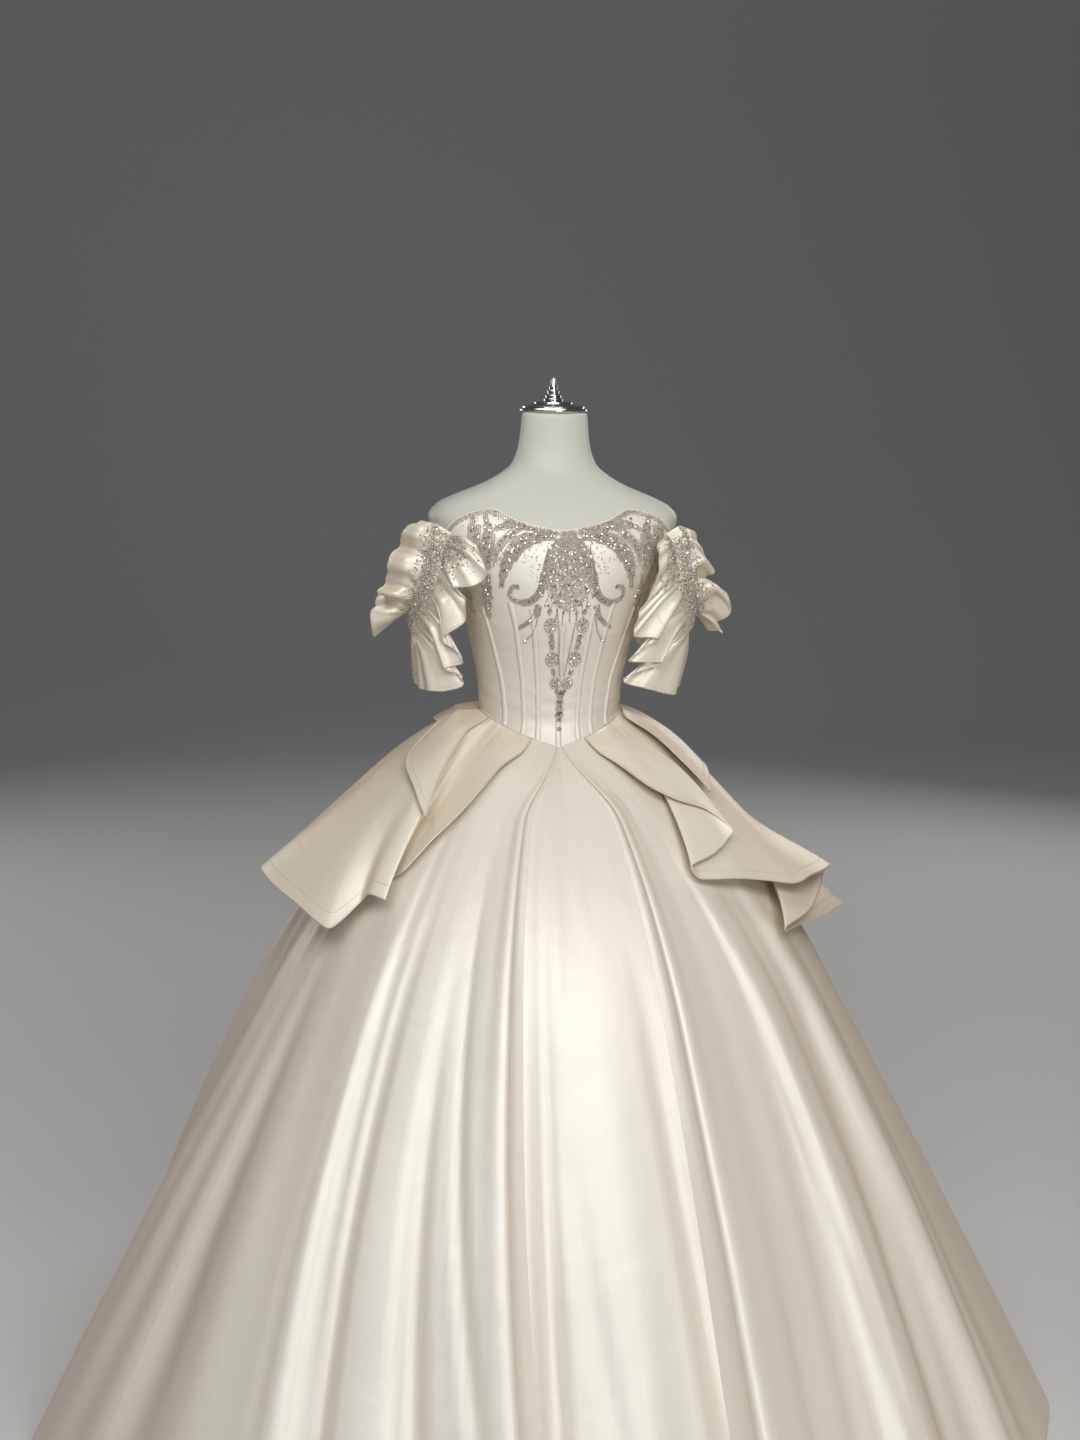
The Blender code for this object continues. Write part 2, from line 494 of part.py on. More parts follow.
def cloth(name, surface, us, vs, wall, look, middle=False, trim=(0, 0), beyond=0.0):
    """A wall on a surface over a grid of parameters; its sides stop short of their seams."""
    us, vs = np.asarray(us, float), np.asarray(vs, float)
    u, v = np.meshgrid(us, vs)
    face = surface(u, v)
    if beyond:
        # a column past each seam gives both neighbours the same normals along it
        wide = np.concatenate([[us[0] - beyond], us, [us[-1] + beyond]])
        normal = grid_normals(surface(*np.meshgrid(wide, vs)))[:, 1:-1]
    else:
        normal = grid_normals(face)
    centre = face.reshape(-1, 3).mean(axis=0)
    for column_index, share in ((0, trim[0]), (-1, trim[1])):
        inner_column = 1 if column_index == 0 else -2
        step = face[:, inner_column] - face[:, column_index]
        step /= np.linalg.norm(step, axis=-1, keepdims=True)
        face[:, column_index] = face[:, column_index] + step * share
    outwards = np.sum(normal * (face - np.array([0.0, 0.0, centre[2]])), axis=-1).mean()
    if outwards < 0:
        normal = -normal
    near = face + normal * wall / 2 if middle else face
    return walled(name, near, near - normal * wall, look)


def lathe(name, profile, segments, look, centre=(0.0, 0.0), squash=1.0):
    """A closed turned piece: profile rows of radius and height, from the bottom up."""
    bm = bmesh.new()
    rings = []
    for radius, height in profile:
        ring = []
        for k in range(segments):
            turn = 2 * math.pi * k / segments
            ring.append(bm.verts.new((centre[0] + radius * math.cos(turn),
                                      centre[1] + squash * radius * math.sin(turn), height)))
        rings.append(ring)
    for low, high in zip(rings, rings[1:]):
        for k in range(segments):
            n = (k + 1) % segments
            bm.faces.new((low[k], low[n], high[n], high[k]))
    bm.faces.new(list(reversed(rings[0])))
    bm.faces.new(rings[-1])
    return finish(bm, name, look)


def torso(look):
    """The dress form from its hips to the top of its neck, whole and closed."""
    heights = [0.780, 0.785, 0.84, 0.90, 0.96, 1.01, 1.052, 1.09, 1.14, 1.19, 1.24, 1.28, 1.31,
               1.335, 1.355, 1.368, 1.38, 1.392, 1.405, 1.42, 1.44, 1.47, 1.514, 1.518]
    segments = 36
    turn = np.arange(segments) * 360.0 / segments
    bm = bmesh.new()
    rings = []
    for k, height in enumerate(heights):
        inset = -0.005 if k in (0, len(heights) - 1) else -FORM_EASE
        points = form_point(turn, np.full(segments, height), inset)
        rings.append([bm.verts.new(p) for p in points])
    for low, high in zip(rings, rings[1:]):
        for k in range(segments):
            n = (k + 1) % segments
            bm.faces.new((low[k], low[n], high[n], high[k]))
    bm.faces.new(list(reversed(rings[0])))
    bm.faces.new(rings[-1])
    return finish(bm, "form_torso", look)


def seam_angle(seam, height):
    """The angle of a bodice seam at a height."""
    levels = (WAIST_HEIGHT - WAIST_POINT_DROP, WAIST_HEIGHT, 1.22, 1.36)
    return through(levels, seam[1:], height)


def bodice_panel(name, left, right, side, look, ridge_left, ridge_right):
    """A bodice panel between two seams, each with a bone casing raised along it."""
    width = abs(right[2] - left[2])
    shares = np.linspace(0.0, 1.0, max(2, round(width / 8.0)) + 1)
    rises = np.linspace(0.0, 1.0, 11)
    grid = np.zeros((len(rises), len(shares), 2))
    for j, share in enumerate(shares):
        height = np.full(len(rises), 1.2)
        for _ in range(12):
            a = seam_angle(left, height)
            b = seam_angle(right, height)
            angle = a + (b - a) * share
            low = waist_height(angle)
            high = through(column(NECKLINE, 0), column(NECKLINE, 1), np.abs(angle))
            height = low + (high - low) * rises
        grid[:, j, 0] = angle * side
        grid[:, j, 1] = height
    off = np.zeros(grid.shape[:2])
    off[:, 0] = BONING_RISE if ridge_left else 0.0
    off[:, -1] = BONING_RISE if ridge_right else 0.0
    inner = form_point(grid[..., 0], grid[..., 1], CLOTH_GAP)
    outer = form_point(grid[..., 0], grid[..., 1], CLOTH_GAP + BODICE_WALL + off)
    for points in (outer, inner):
        for index, neighbour in ((0, 1), (-1, -2)):
            step = points[:, neighbour] - points[:, index]
            step /= np.linalg.norm(step, axis=-1, keepdims=True)
            points[:, index] += step * SEAM_HALF_GAP
    return walled(name, outer, inner, look)


def skirt_columns(start, end):
    """Hem angles of a gore's columns: on each fold's crest, flanks and feet, and between."""
    wanted = {start, end}
    for row in SKIRT_FOLDS:
        for offset in (-row[7], -row[7] * 0.5, 0.0, row[8] * 0.5, row[8]):
            wanted.add(row[3] + offset)
    inside = sorted(w for w in wanted if start <= w <= end)
    kept = [start]
    for angle in inside[1:]:
        if angle - kept[-1] < 1.1 and angle != end:
            continue
        if angle == end and angle - kept[-1] < 0.8 and len(kept) > 1:
            kept.pop()
        gap = angle - kept[-1]
        pieces = max(1, round(gap / 4.6))
        kept += [kept[-1] + gap * (k + 1) / pieces for k in range(pieces)]
    return kept


def main():
    for old in list(bpy.data.objects):
        bpy.data.objects.remove(old, do_unlink=True)

    satin = material("ivory_satin", (0.86, 0.80, 0.70), 0.42)
    peplum_satin = material("peplum_satin", (0.84, 0.78, 0.69), 0.42)
    sleeve_satin = material("sleeve_satin", (0.88, 0.83, 0.74), 0.40)
    bodice_satin = material("bodice_satin", (0.85, 0.79, 0.70), 0.45)
    white_form = material("form_white", (0.83, 0.82, 0.76), 0.55)
    chrome = material("polished_metal", (0.80, 0.80, 0.80), 0.12, 1.0)
    stand_paint = material("stand_paint", (0.80, 0.80, 0.78), 0.40)

    # The stand and the dress form
    lathe("stand_base", [(BASE_RADIUS - 0.003, 0.0), (BASE_RADIUS, 0.003),
                         (BASE_RADIUS, BASE_HEIGHT - 0.003), (BASE_RADIUS - 0.004, BASE_HEIGHT)],
          36, stand_paint)
    lathe("stand_pole", [(POLE_RADIUS, BASE_HEIGHT + 0.0003), (POLE_RADIUS, 0.7797)],
          16, stand_paint)
    torso(white_form)
    lathe("form_neck_cap", [(0.0500, 1.5183), (0.0535, 1.5200), (0.0535, 1.5225), (0.0490, 1.5245),
                            (0.0490, 1.5270), (0.0300, 1.5310), (0.0300, 1.5335),
                            (0.0190, 1.5350)],
          32, chrome, centre=(0.0, 0.0195), squash=0.875)
    lathe("form_finial", [(0.0150, 1.5353), (0.0150, 1.5385), (0.0120, 1.5400), (0.0125, 1.5440),
                          (0.0085, 1.5460), (0.0095, 1.5510), (0.0060, 1.5530), (0.0070, 1.5580),
                          (0.0042, 1.5600), (0.0040, 1.5660), (0.0016, 1.5730)],
          16, chrome, centre=(0.0, 0.0195))

    # The bodice
    centre_back = ("zip",) + (180.0 - ZIP_HALF_ANGLE,) * 4
    beyond_back = ("zip",) + (180.0 + ZIP_HALF_ANGLE,) * 4
    first = BODICE_SEAMS[0]
    mirrored = tuple([first[0]] + [-a for a in first[1:]])
    bodice_panel("bodice_centre_front", mirrored, first, 1, bodice_satin, True, True)
    for side, word in ((-1, "left"), (1, "right")):
        for a, b in zip(BODICE_SEAMS, BODICE_SEAMS[1:] + [centre_back]):
            bodice_panel("bodice_%s_%s" % (a[0], word), a, b, side, bodice_satin,
                         True, b is not centre_back)
    bodice_panel("bodice_zip_strip", centre_back, beyond_back, 1, bodice_satin, False, False)

    # The skirt
    drops = [0.0, 0.02, 0.05, 0.09, 0.14, 0.21, 0.30, 0.40, 0.52, 0.64, 0.76, 0.88, 1.0]
    for name, start, end in GORES:
        cloth(name, skirt, skirt_columns(start, end), drops, SKIRT_WALL, satin,
              trim=(SEAM_HALF_GAP, SEAM_HALF_GAP), beyond=1.0)

    # The peplums
    depths = [0.0, 0.08, 0.18, 0.36, 0.55, 0.78, 1.0]
    for name, table, fineness, levels in (
            ("peplum_left", PEPLUM_LEFT, 2, depths), ("peplum_right", PEPLUM_RIGHT, 2, depths),
            ("peplum_tier_left", TIER_LEFT, 2, depths[::2]),
            ("peplum_tier_right", TIER_RIGHT, 2, depths[::2])):
        us = np.linspace(0, len(table) - 1, (len(table) - 1) * fineness + 1)
        cloth(name, peplum(table), us, levels, FRILL_WALL, peplum_satin, middle=True)

    # The sleeves
    for side, word, outer, inner in ((-1, "left", OUTER_LEFT, INNER_LEFT),
                                     (1, "right", OUTER_RIGHT, INNER_RIGHT)):
        cloth("sleeve_band_" + word, band(side), np.linspace(0, 1, 31), (-1.0, 1.0),
              FRILL_WALL, sleeve_satin, middle=True)
        us = np.linspace(0, len(outer) - 1, (len(outer) - 1) * 2 + 1)
        cloth("sleeve_outer_" + word, frill(outer, side, 1), us, (0.0, 0.25, 0.5, 0.75, 1.0),
              FRILL_WALL, sleeve_satin, middle=True)
        us = np.linspace(0, len(inner) - 1, (len(inner) - 1) * 2 + 1)
        cloth("sleeve_inner_" + word, frill(inner, side, -1), us,
              (0.0, 0.2, 0.4, 0.6, 0.8, 1.0), FRILL_WALL, sleeve_satin, middle=True)


main()
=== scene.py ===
"""A ball gown of ivory duchess satin on a dress form: finishes, fine cloth, beadwork, stage.

Metres, Z up, front towards -Y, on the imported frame. The measures and the surfaces are the
part's own; here they are read finely, and the seams, hems, bones, beads and zip are added.
"""

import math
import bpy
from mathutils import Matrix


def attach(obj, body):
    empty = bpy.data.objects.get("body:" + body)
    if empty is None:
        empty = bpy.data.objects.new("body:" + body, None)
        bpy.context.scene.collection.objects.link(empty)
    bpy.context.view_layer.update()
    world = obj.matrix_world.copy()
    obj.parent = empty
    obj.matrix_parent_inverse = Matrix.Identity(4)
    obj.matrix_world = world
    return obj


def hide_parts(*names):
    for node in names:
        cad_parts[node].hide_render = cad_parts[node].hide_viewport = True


bl_info = {
    "name": "Ball gown on a dress form",
    "version": (1, 0, 0),
    "blender": (4, 5, 0),
    "location": "3D View > Sidebar > Gown",
    "description": "Builds the gown's cloth, beadwork, dress form and studio on the packed frame",
    "category": "Object",
}

import bmesh
import bpy
import numpy as np
from bpy.props import FloatProperty, FloatVectorProperty, IntProperty, PointerProperty
from mathutils import Matrix, Vector

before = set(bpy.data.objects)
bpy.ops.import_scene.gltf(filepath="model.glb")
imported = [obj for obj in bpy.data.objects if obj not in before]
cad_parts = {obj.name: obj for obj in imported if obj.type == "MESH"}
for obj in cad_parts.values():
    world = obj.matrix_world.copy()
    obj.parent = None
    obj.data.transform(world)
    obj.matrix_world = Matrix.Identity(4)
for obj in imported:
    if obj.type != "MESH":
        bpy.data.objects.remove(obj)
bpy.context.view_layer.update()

# Driving dimensions, in metres
HEM_HEIGHT = 0.004        # the skirt's hem over the floor
WAIST_HEIGHT = 1.052      # the waist seam at the sides
WAIST_POINT_DROP = 0.046  # how far the seam dips at the centre front
CLOTH_GAP = 0.0006        # between the body's measures and the bodice
FORM_EASE = 0.0014        # the dress form is this much smaller than the body's measures
BODICE_WALL = 0.0020      # outer satin on its corset cloth
SKIRT_WALL = 0.0016
FRILL_WALL = 0.0010       # peplums and sleeves
GATHER_RISE = 0.0018      # small gathers on the sleeve frills
BAND_HALF_WIDTH = 0.011
SKIRT_OVER_BODICE = 0.0008  # the skirt's waist clears the bodice's by this much
SKIRT_LOWER = 0.0003      # its waist seam lies this far under the bodice's
FRILL_ROOT_GAP = 0.0013   # between a sleeve band's edge and its frill
ARM_MIDDLE = (0.172, 0.004)  # the sleeves' middle: distance from the centre line, depth
SEAM_LEVELS = (WAIST_HEIGHT - WAIST_POINT_DROP, WAIST_HEIGHT, 1.22, 1.36)
NECK_EDGE_RADIUS = 0.0016
WAIST_EDGE_RADIUS = 0.0013
THREAD_RADIUS = 0.00028

# Dress form: height, half width, depth to the front, depth to the back, squareness
FORM_SECTIONS = [
    (0.780, 0.150, 0.082, 0.108, 2.00),
    (0.860, 0.163, 0.102, 0.125, 2.00),
    (0.950, 0.148, 0.101, 0.110, 2.00),
    (1.010, 0.123, 0.091, 0.090, 2.00),
    (1.052, 0.1087, 0.081, 0.080, 2.00),
    (1.100, 0.112, 0.086, 0.084, 2.00),
    (1.150, 0.122, 0.098, 0.092, 2.05),
    (1.200, 0.134, 0.113, 0.100, 2.10),
    (1.250, 0.150, 0.117, 0.108, 2.25),
    (1.300, 0.178, 0.109, 0.114, 2.50),
    (1.335, 0.194, 0.096, 0.114, 2.70),
    (1.358, 0.196, 0.085, 0.111, 2.80),
    (1.375, 0.184, 0.075, 0.107, 2.70),
    (1.390, 0.155, 0.065, 0.101, 2.50),
    (1.405, 0.118, 0.055, 0.094, 2.30),
    (1.420, 0.090, 0.045, 0.086, 2.10),
    (1.440, 0.067, 0.036, 0.077, 2.00),
    (1.470, 0.057, 0.029, 0.069, 2.00),
    (1.518, 0.052, 0.025, 0.064, 2.00),
]

# Neckline: angle round the body from the centre front, height
NECKLINE = [(0, 1.342), (12, 1.355), (28, 1.373), (40, 1.366), (55, 1.346),
            (70, 1.318), (90, 1.272), (120, 1.263), (150, 1.261), (180, 1.256)]

# Bodice seams, from the centre front to the centre back: angle at the waist point, waist,
# bust and neckline
BODICE_SEAMS = [
    ("front", 15.0, 16.0, 18.0, 21.0),
    ("side_front", 27.0, 28.0, 31.0, 38.0),
    ("side", 45.0, 46.0, 55.0, 64.0),
    ("side_back", 98.0, 98.0, 100.0, 104.0),
    ("back", 136.0, 136.0, 140.0, 142.0),
]
ZIP_HALF_ANGLE = 4.0

# Skirt hem seen from above: angle from the centre front, radius
HEM_PLAN = [(-180, 0.86), (-135, 0.80), (-90, 0.685), (-55, 0.89), (0, 0.80),
            (55, 0.845), (90, 0.705), (135, 0.80), (180, 0.86)]
# Skirt's side view: share of the drop, share of the flare in front, and at the fuller sides
FLARE = [(0, 0, 0), (0.02, 0.035, 0.041), (0.06, 0.11, 0.129), (0.12, 0.20, 0.235),
         (0.20, 0.30, 0.350), (0.333, 0.433, 0.500), (0.43, 0.513, 0.590), (0.52, 0.588, 0.670),
         (0.66, 0.708, 0.785), (0.75, 0.783, 0.85), (0.87, 0.888, 0.93), (1, 1, 1)]
FOLD_LEVELS = (0.0, 0.1, 0.4, 1.0)
# Skirt folds: angle at the four levels, height of the fold at the last three levels in
# millimetres, half widths of the left and right flanks in degrees of hem
SKIRT_FOLDS = [
    (-180, -180, -180, -180, 0, 14, 34, 9.0, 9.0),
    (-158, -158, -158, -158, 0, 12, 32, 9.0, 8.0),
    (-138, -138, -138, -138, 0, 12, 34, 8.0, 9.0),
    (-118, -118, -118, -118, 0, 10, 20, 9.0, 8.0),
    (-99, -99, -99, -99, 0, 24, 16, 8.0, 9.0),
    (-70, -70, -70, -70, 0, 12, 46, 13.0, 10.0),
    (-38, -42, -40.5, -33, 0, 13, 30, 9.0, 4.0),
    (-14, -29, -29, -24, 0, 3, 10, 3.5, 4.5),
    (-2, -16.8, -15.2, -9.5, 5, 15, 24, 10.0, 2.6),
    (0, 1, 2, 2, 0, 4, 16, 5.5, 6.5),
    (3, 18.3, 17.3, 14.5, 6, 18, 30, 2.6, 9.0),
    (24, 31, 36.8, 32, 0, 16, 34, 3.6, 7.0),
    (44, 46, 51, 45, 0, 14, 32, 4.0, 8.0),
    (68, 68, 68, 66, 0, 2, 14, 8.0, 10.0),
    (92, 92, 92, 91, 0, 12, 32, 9.0, 9.0),
    (114, 114, 114, 114, 0, 12, 34, 8.0, 9.0),
    (136, 136, 136, 136, 0, 12, 34, 9.0, 8.0),
    (158, 158, 158, 158, 0, 12, 32, 8.0, 9.0),
    (180, 180, 180, 180, 0, 14, 34, 9.0, 9.0),
]
# Skirt gores: name, hem angles of the two seams
GORES = [
    ("skirt_front", -7.0, 12.0),
    ("skirt_front_right", 12.0, 57.0),
    ("skirt_side_right", 57.0, 104.0),
    ("skirt_back_right", 104.0, 180.0),
    ("skirt_back_left", -180.0, -108.0),
    ("skirt_side_left", -108.0, -55.0),
    ("skirt_front_left", -55.0, -7.0),
]

FRILL_LEVELS = (0.0, 0.18, 0.55, 1.0)
# Peplums, a row for each edge, ridge or valley from front to back: angle and stand-off at the
# waist, then angle, height and stand-off at the hip, at mid length and at the hem.
# Stand-offs, in millimetres, are out from the skirt.
PEPLUM_LEFT = [
    (-20, 1.4, -21, 1.014, 7, -22, 1.009, 8, -23.5, 1.003, 9),
    (-26, 1.4, -28, 1.013, 11, -28, 1.004, 12.5, -27.5, 0.995, 14.5),
    (-32, 1.4, -35, 1.012, 12.5, -33, 0.998, 15.5, -30.2, 0.987, 19.5),
    (-37, 1.4, -39, 1.012, 12.5, -37, 0.991, 16, -32, 0.972, 24),
    (-42, 1.4, -43, 1.011, 11.5, -41, 0.979, 14.5, -35.6, 0.938, 28.5),
    (-47, 1.4, -47, 1.009, 9, -45, 0.965, 12, -41.5, 0.890, 27),
    (-51, 1.4, -50, 1.008, 9, -47.5, 0.950, 9.5, -45.5, 0.849, 20.5),
    (-55, 1.9, -53.5, 1.010, 11, -50.5, 0.942, 10, -49.5, 0.832, 8),
    (-58, 2.9, -56, 1.018, 22, -51.5, 0.954, 28, -49.5, 0.824, 25),
    (-61, 1.4, -57, 1.024, 33, -48.5, 0.972, 44, -43.9, 0.818, 47),
    (-66, 1.4, -61, 1.028, 39.5, -52, 0.966, 54.5, -47.5, 0.823, 53),
    (-72, 1.4, -66, 1.030, 41.5, -57, 0.956, 52.5, -50.5, 0.808, 39),
    (-79, 1.4, -73, 1.031, 41.5, -63, 0.944, 55.5, -51.5, 0.777, 69),
    (-87, 1.4, -81, 1.031, 42, -71, 0.934, 63.5, -61, 0.797, 83.5),
    (-95, 1.4, -88, 1.030, 42, -81, 0.926, 72, -80, 0.819, 127.5),
    (-104, 1.4, -98, 1.030, 41.5, -92, 0.924, 69, -90, 0.806, 105),
    (-113, 1.4, -108, 1.029, 38, -104, 0.915, 49, -103, 0.790, 50.5),
    (-124, 1.4, -120, 1.028, 37.5, -118, 0.912, 69, -118, 0.775, 97.5),
    (-136, 1.4, -134, 1.028, 37, -133, 0.915, 68.5, -134, 0.780, 99),
    (-148, 1.4, -147, 1.028, 33, -147, 0.920, 42, -147, 0.800, 42),
    (-159, 1.4, -158, 1.030, 31.5, -158, 0.930, 52.5, -159, 0.810, 65),
    (-172, 1.4, -172, 1.032, 24, -172, 0.940, 31, -172, 0.840, 27.5),
]
PEPLUM_RIGHT = [
    (20, 1.4, 21, 1.013, 7, 22, 1.008, 8, 23.5, 1.001, 9.5),
    (25, 2.4, 26, 1.013, 10.5, 27, 1.003, 12.5, 26.5, 0.993, 15),
    (31, 5.4, 31, 1.013, 14.5, 31, 0.998, 19, 28.8, 0.983, 21),
    (37, 8.4, 36, 1.014, 20.5, 35, 0.990, 25.5, 32.9, 0.961, 29.5),
    (43, 9.4, 41, 1.014, 24, 40, 0.982, 31, 39.1, 0.942, 38.5),
    (49, 10.4, 46, 1.014, 28, 45.5, 0.976, 41, 46.7, 0.924, 49),
    (54, 11.4, 51, 1.014, 34, 50, 0.970, 51, 48.4, 0.899, 60),
    (56, 8.4, 52, 1.009, 27.5, 49.5, 0.962, 39.5, 45.7, 0.884, 47),
    (55, 5.9, 48, 1.004, 20.5, 44, 0.950, 30, 39.6, 0.870, 40),
    (53, 1.4, 44, 0.999, 14.5, 38, 0.938, 21.5, 31.3, 0.856, 30.5),
    (55, 0.9, 46, 0.997, 10, 39, 0.930, 14, 33.2, 0.838, 21.5),
    (61, 0.9, 53, 1.000, 10.5, 47, 0.926, 20, 43.5, 0.832, 35.5),
    (68, 1.4, 62, 1.004, 17, 57, 0.920, 29, 51.4, 0.822, 47.5),
    (75, 0.9, 70, 1.006, 23.5, 66, 0.912, 39, 57.8, 0.813, 67),
    (82, 1.4, 77, 1.006, 26, 74, 0.904, 34, 63.7, 0.818, 85),
    (87.5, 1.4, 83, 1.005, 25.5, 81, 0.898, 28.5, 76, 0.813, 107.5),
    (91, 1.4, 87, 1.003, 23.5, 84.3, 0.888, 25.5, 82, 0.792, 93.5),
    (92.5, 1.4, 87.8, 1.002, 19.5, 84, 0.883, 21, 81.3, 0.787, 86),
    (95, 0.9, 88, 1.000, 15.5, 77, 0.873, 17.5, 67, 0.775, 58.5),
    (97.5, 1.4, 89.2, 0.999, 11.5, 68, 0.868, 18.5, 48.5, 0.759, 41.5),
    (98.5, 1.4, 90, 0.998, 10.5, 68.5, 0.864, 13, 49, 0.753, 36),
    (101, 0.9, 92, 0.998, 8, 73, 0.858, 6, 58, 0.748, 28),
    (105, 1.4, 97, 1.002, 12, 82, 0.858, 12, 77, 0.736, 63.5),
    (111, 0.9, 105, 1.014, 23, 98, 0.870, 40.5, 91.5, 0.721, 95.5),
    (120, 1.4, 117, 1.024, 28, 111, 0.900, 48.5, 107, 0.760, 56.5),
    (131, 1.4, 129, 1.028, 28.5, 125, 0.912, 60, 122, 0.775, 96.5),
    (143, 1.4, 142, 1.028, 28, 139, 0.920, 43.5, 138, 0.800, 48.5),
    (156, 1.4, 155, 1.030, 27.5, 154, 0.925, 51, 153, 0.800, 71),
    (172, 1.4, 172, 1.032, 24, 172, 0.940, 31, 172, 0.840, 27.5),
]
# Short upper tiers of the peplums, rows as above
TIER_LEFT = [
    (-62, 3.8, -56, 1.030, 44.5, -49, 0.990, 58.5, -43.4, 0.927, 61.5),
    (-69, 3.2, -62, 1.038, 49.5, -58, 1.008, 63.5, -53, 0.962, 67),
    (-77, 3.1, -71, 1.045, 50, -69, 1.024, 63, -66.5, 0.992, 70),
    (-86, 3.1, -84, 1.054, 38, -84, 1.048, 46, -84, 1.037, 53),
    (-100, 3.1, -100, 1.054, 38, -100, 1.047, 46, -100, 1.035, 53.5),
    (-115, 3.1, -115, 1.052, 36, -115, 1.045, 44.5, -115, 1.033, 51.5),
    (-130, 3.1, -130, 1.050, 34, -130, 1.042, 42.5, -130, 1.030, 49),
]
TIER_RIGHT = [
    (62, 12, 58, 1.022, 42.5, 53, 0.990, 56, 50.7, 0.949, 65),
    (70, 8, 66, 1.027, 42.5, 61, 1.002, 54, 57, 0.964, 60.5),
    (78, 4.5, 75, 1.031, 38, 72, 1.006, 46.5, 70, 0.972, 46),
    (87, 3.2, 84, 1.033, 30, 84, 1.006, 38.5, 84, 0.971, 33),
    (100, 3.1, 98, 1.036, 32, 98, 1.016, 39, 98, 0.988, 38),
    (114, 3.1, 113, 1.042, 33.5, 113, 1.028, 41.5, 113, 1.006, 46.5),
    (128, 3.1, 128, 1.047, 34.5, 128, 1.037, 43, 128, 1.020, 50),
]

# Sleeve band: share of its length, then x, y, z of its middle line. Left sleeve as seen from
# the front; the right band is its mirror image.
BAND = [
    (0.00, -0.1765, -0.0666, 1.3417),
    (0.09, -0.1880, -0.078, 1.323),
    (0.20, -0.1970, -0.079, 1.280),
    (0.28, -0.2060, -0.070, 1.252),
    (0.38, -0.2170, -0.050, 1.221),
    (0.50, -0.2250, -0.015, 1.196),
    (0.60, -0.2230, 0.025, 1.202),
    (0.72, -0.2100, 0.064, 1.232),
    (0.86, -0.1860, 0.090, 1.262),
    (1.00, -0.1350, 0.0745, 1.272),
]
# Sleeve frills, a row for each ridge or valley: share of the band's length, then x, y, z at
# mid depth and at the hem
OUTER_LEFT = [
    (0.00, -0.200, -0.072, 1.352, -0.214, -0.064, 1.354),
    (0.10, -0.219, -0.082, 1.337, -0.240, -0.062, 1.339),
    (0.16, -0.222, -0.066, 1.312, -0.243, -0.042, 1.316),
    (0.24, -0.236, -0.078, 1.288, -0.262, -0.058, 1.293),
    (0.32, -0.236, -0.056, 1.256, -0.263, -0.030, 1.259),
    (0.38, -0.250, -0.058, 1.240, -0.276, -0.040, 1.243),
    (0.44, -0.244, -0.036, 1.222, -0.262, -0.016, 1.228),
    (0.50, -0.262, -0.032, 1.204, -0.287, -0.026, 1.208),
    (0.58, -0.256, 0.004, 1.186, -0.279, 0.002, 1.168),
    (0.66, -0.248, 0.042, 1.202, -0.262, 0.042, 1.190),
    (0.74, -0.250, 0.080, 1.222, -0.272, 0.082, 1.212),
    (0.82, -0.232, 0.096, 1.244, -0.248, 0.102, 1.236),
    (0.90, -0.220, 0.120, 1.262, -0.236, 0.130, 1.256),
    (1.00, -0.178, 0.116, 1.280, -0.190, 0.128, 1.284),
]
INNER_LEFT = [
    (0.02, -0.156, -0.104, 1.334, -0.134, -0.116, 1.322),
    (0.07, -0.150, -0.114, 1.310, -0.121, -0.127, 1.282),
    (0.11, -0.158, -0.112, 1.292, -0.140, -0.124, 1.262),
    (0.15, -0.176, -0.104, 1.278, -0.168, -0.114, 1.258),
    (0.19, -0.172, -0.102, 1.262, -0.150, -0.108, 1.238),
    (0.24, -0.172, -0.100, 1.242, -0.149, -0.104, 1.208),
    (0.29, -0.190, -0.094, 1.226, -0.184, -0.098, 1.178),
    (0.33, -0.184, -0.090, 1.206, -0.160, -0.093, 1.158),
    (0.36, -0.184, -0.087, 1.194, -0.150, -0.089, 1.140),
    (0.40, -0.197, -0.082, 1.184, -0.178, -0.084, 1.130),
    (0.43, -0.192, -0.077, 1.172, -0.152, -0.079, 1.118),
    (0.46, -0.192, -0.072, 1.162, -0.148, -0.074, 1.103),
    (0.50, -0.206, -0.062, 1.156, -0.184, -0.066, 1.092),
    (0.55, -0.216, -0.040, 1.152, -0.208, -0.042, 1.092),
    (0.62, -0.220, -0.004, 1.150, -0.216, -0.006, 1.099),
    (0.69, -0.217, 0.040, 1.156, -0.214, 0.040, 1.100),
    (0.76, -0.206, 0.074, 1.174, -0.202, 0.074, 1.108),
    (0.85, -0.184, 0.098, 1.196, -0.178, 0.100, 1.125),
    (0.93, -0.160, 0.102, 1.214, -0.152, 0.106, 1.155),
    (1.00, -0.142, 0.096, 1.238, -0.136, 0.100, 1.205),
]
OUTER_RIGHT = [
    (0.00, 0.200, -0.076, 1.344, 0.210, -0.068, 1.340),
    (0.10, 0.208, -0.080, 1.322, 0.226, -0.062, 1.309),
    (0.20, 0.226, -0.074, 1.296, 0.248, -0.052, 1.276),
    (0.26, 0.222, -0.054, 1.272, 0.236, -0.034, 1.262),
    (0.34, 0.244, -0.054, 1.256, 0.269, -0.042, 1.244),
    (0.42, 0.256, -0.036, 1.232, 0.284, -0.026, 1.208),
    (0.48, 0.248, -0.014, 1.204, 0.268, -0.004, 1.190),
    (0.54, 0.256, 0.000, 1.192, 0.279, 0.004, 1.172),
    (0.60, 0.246, 0.026, 1.194, 0.260, 0.032, 1.176),
    (0.68, 0.250, 0.058, 1.212, 0.268, 0.064, 1.196),
    (0.76, 0.234, 0.078, 1.234, 0.246, 0.086, 1.222),
    (0.84, 0.228, 0.108, 1.250, 0.248, 0.120, 1.244),
    (0.92, 0.206, 0.112, 1.270, 0.218, 0.126, 1.266),
    (1.00, 0.178, 0.116, 1.280, 0.190, 0.128, 1.284),
]
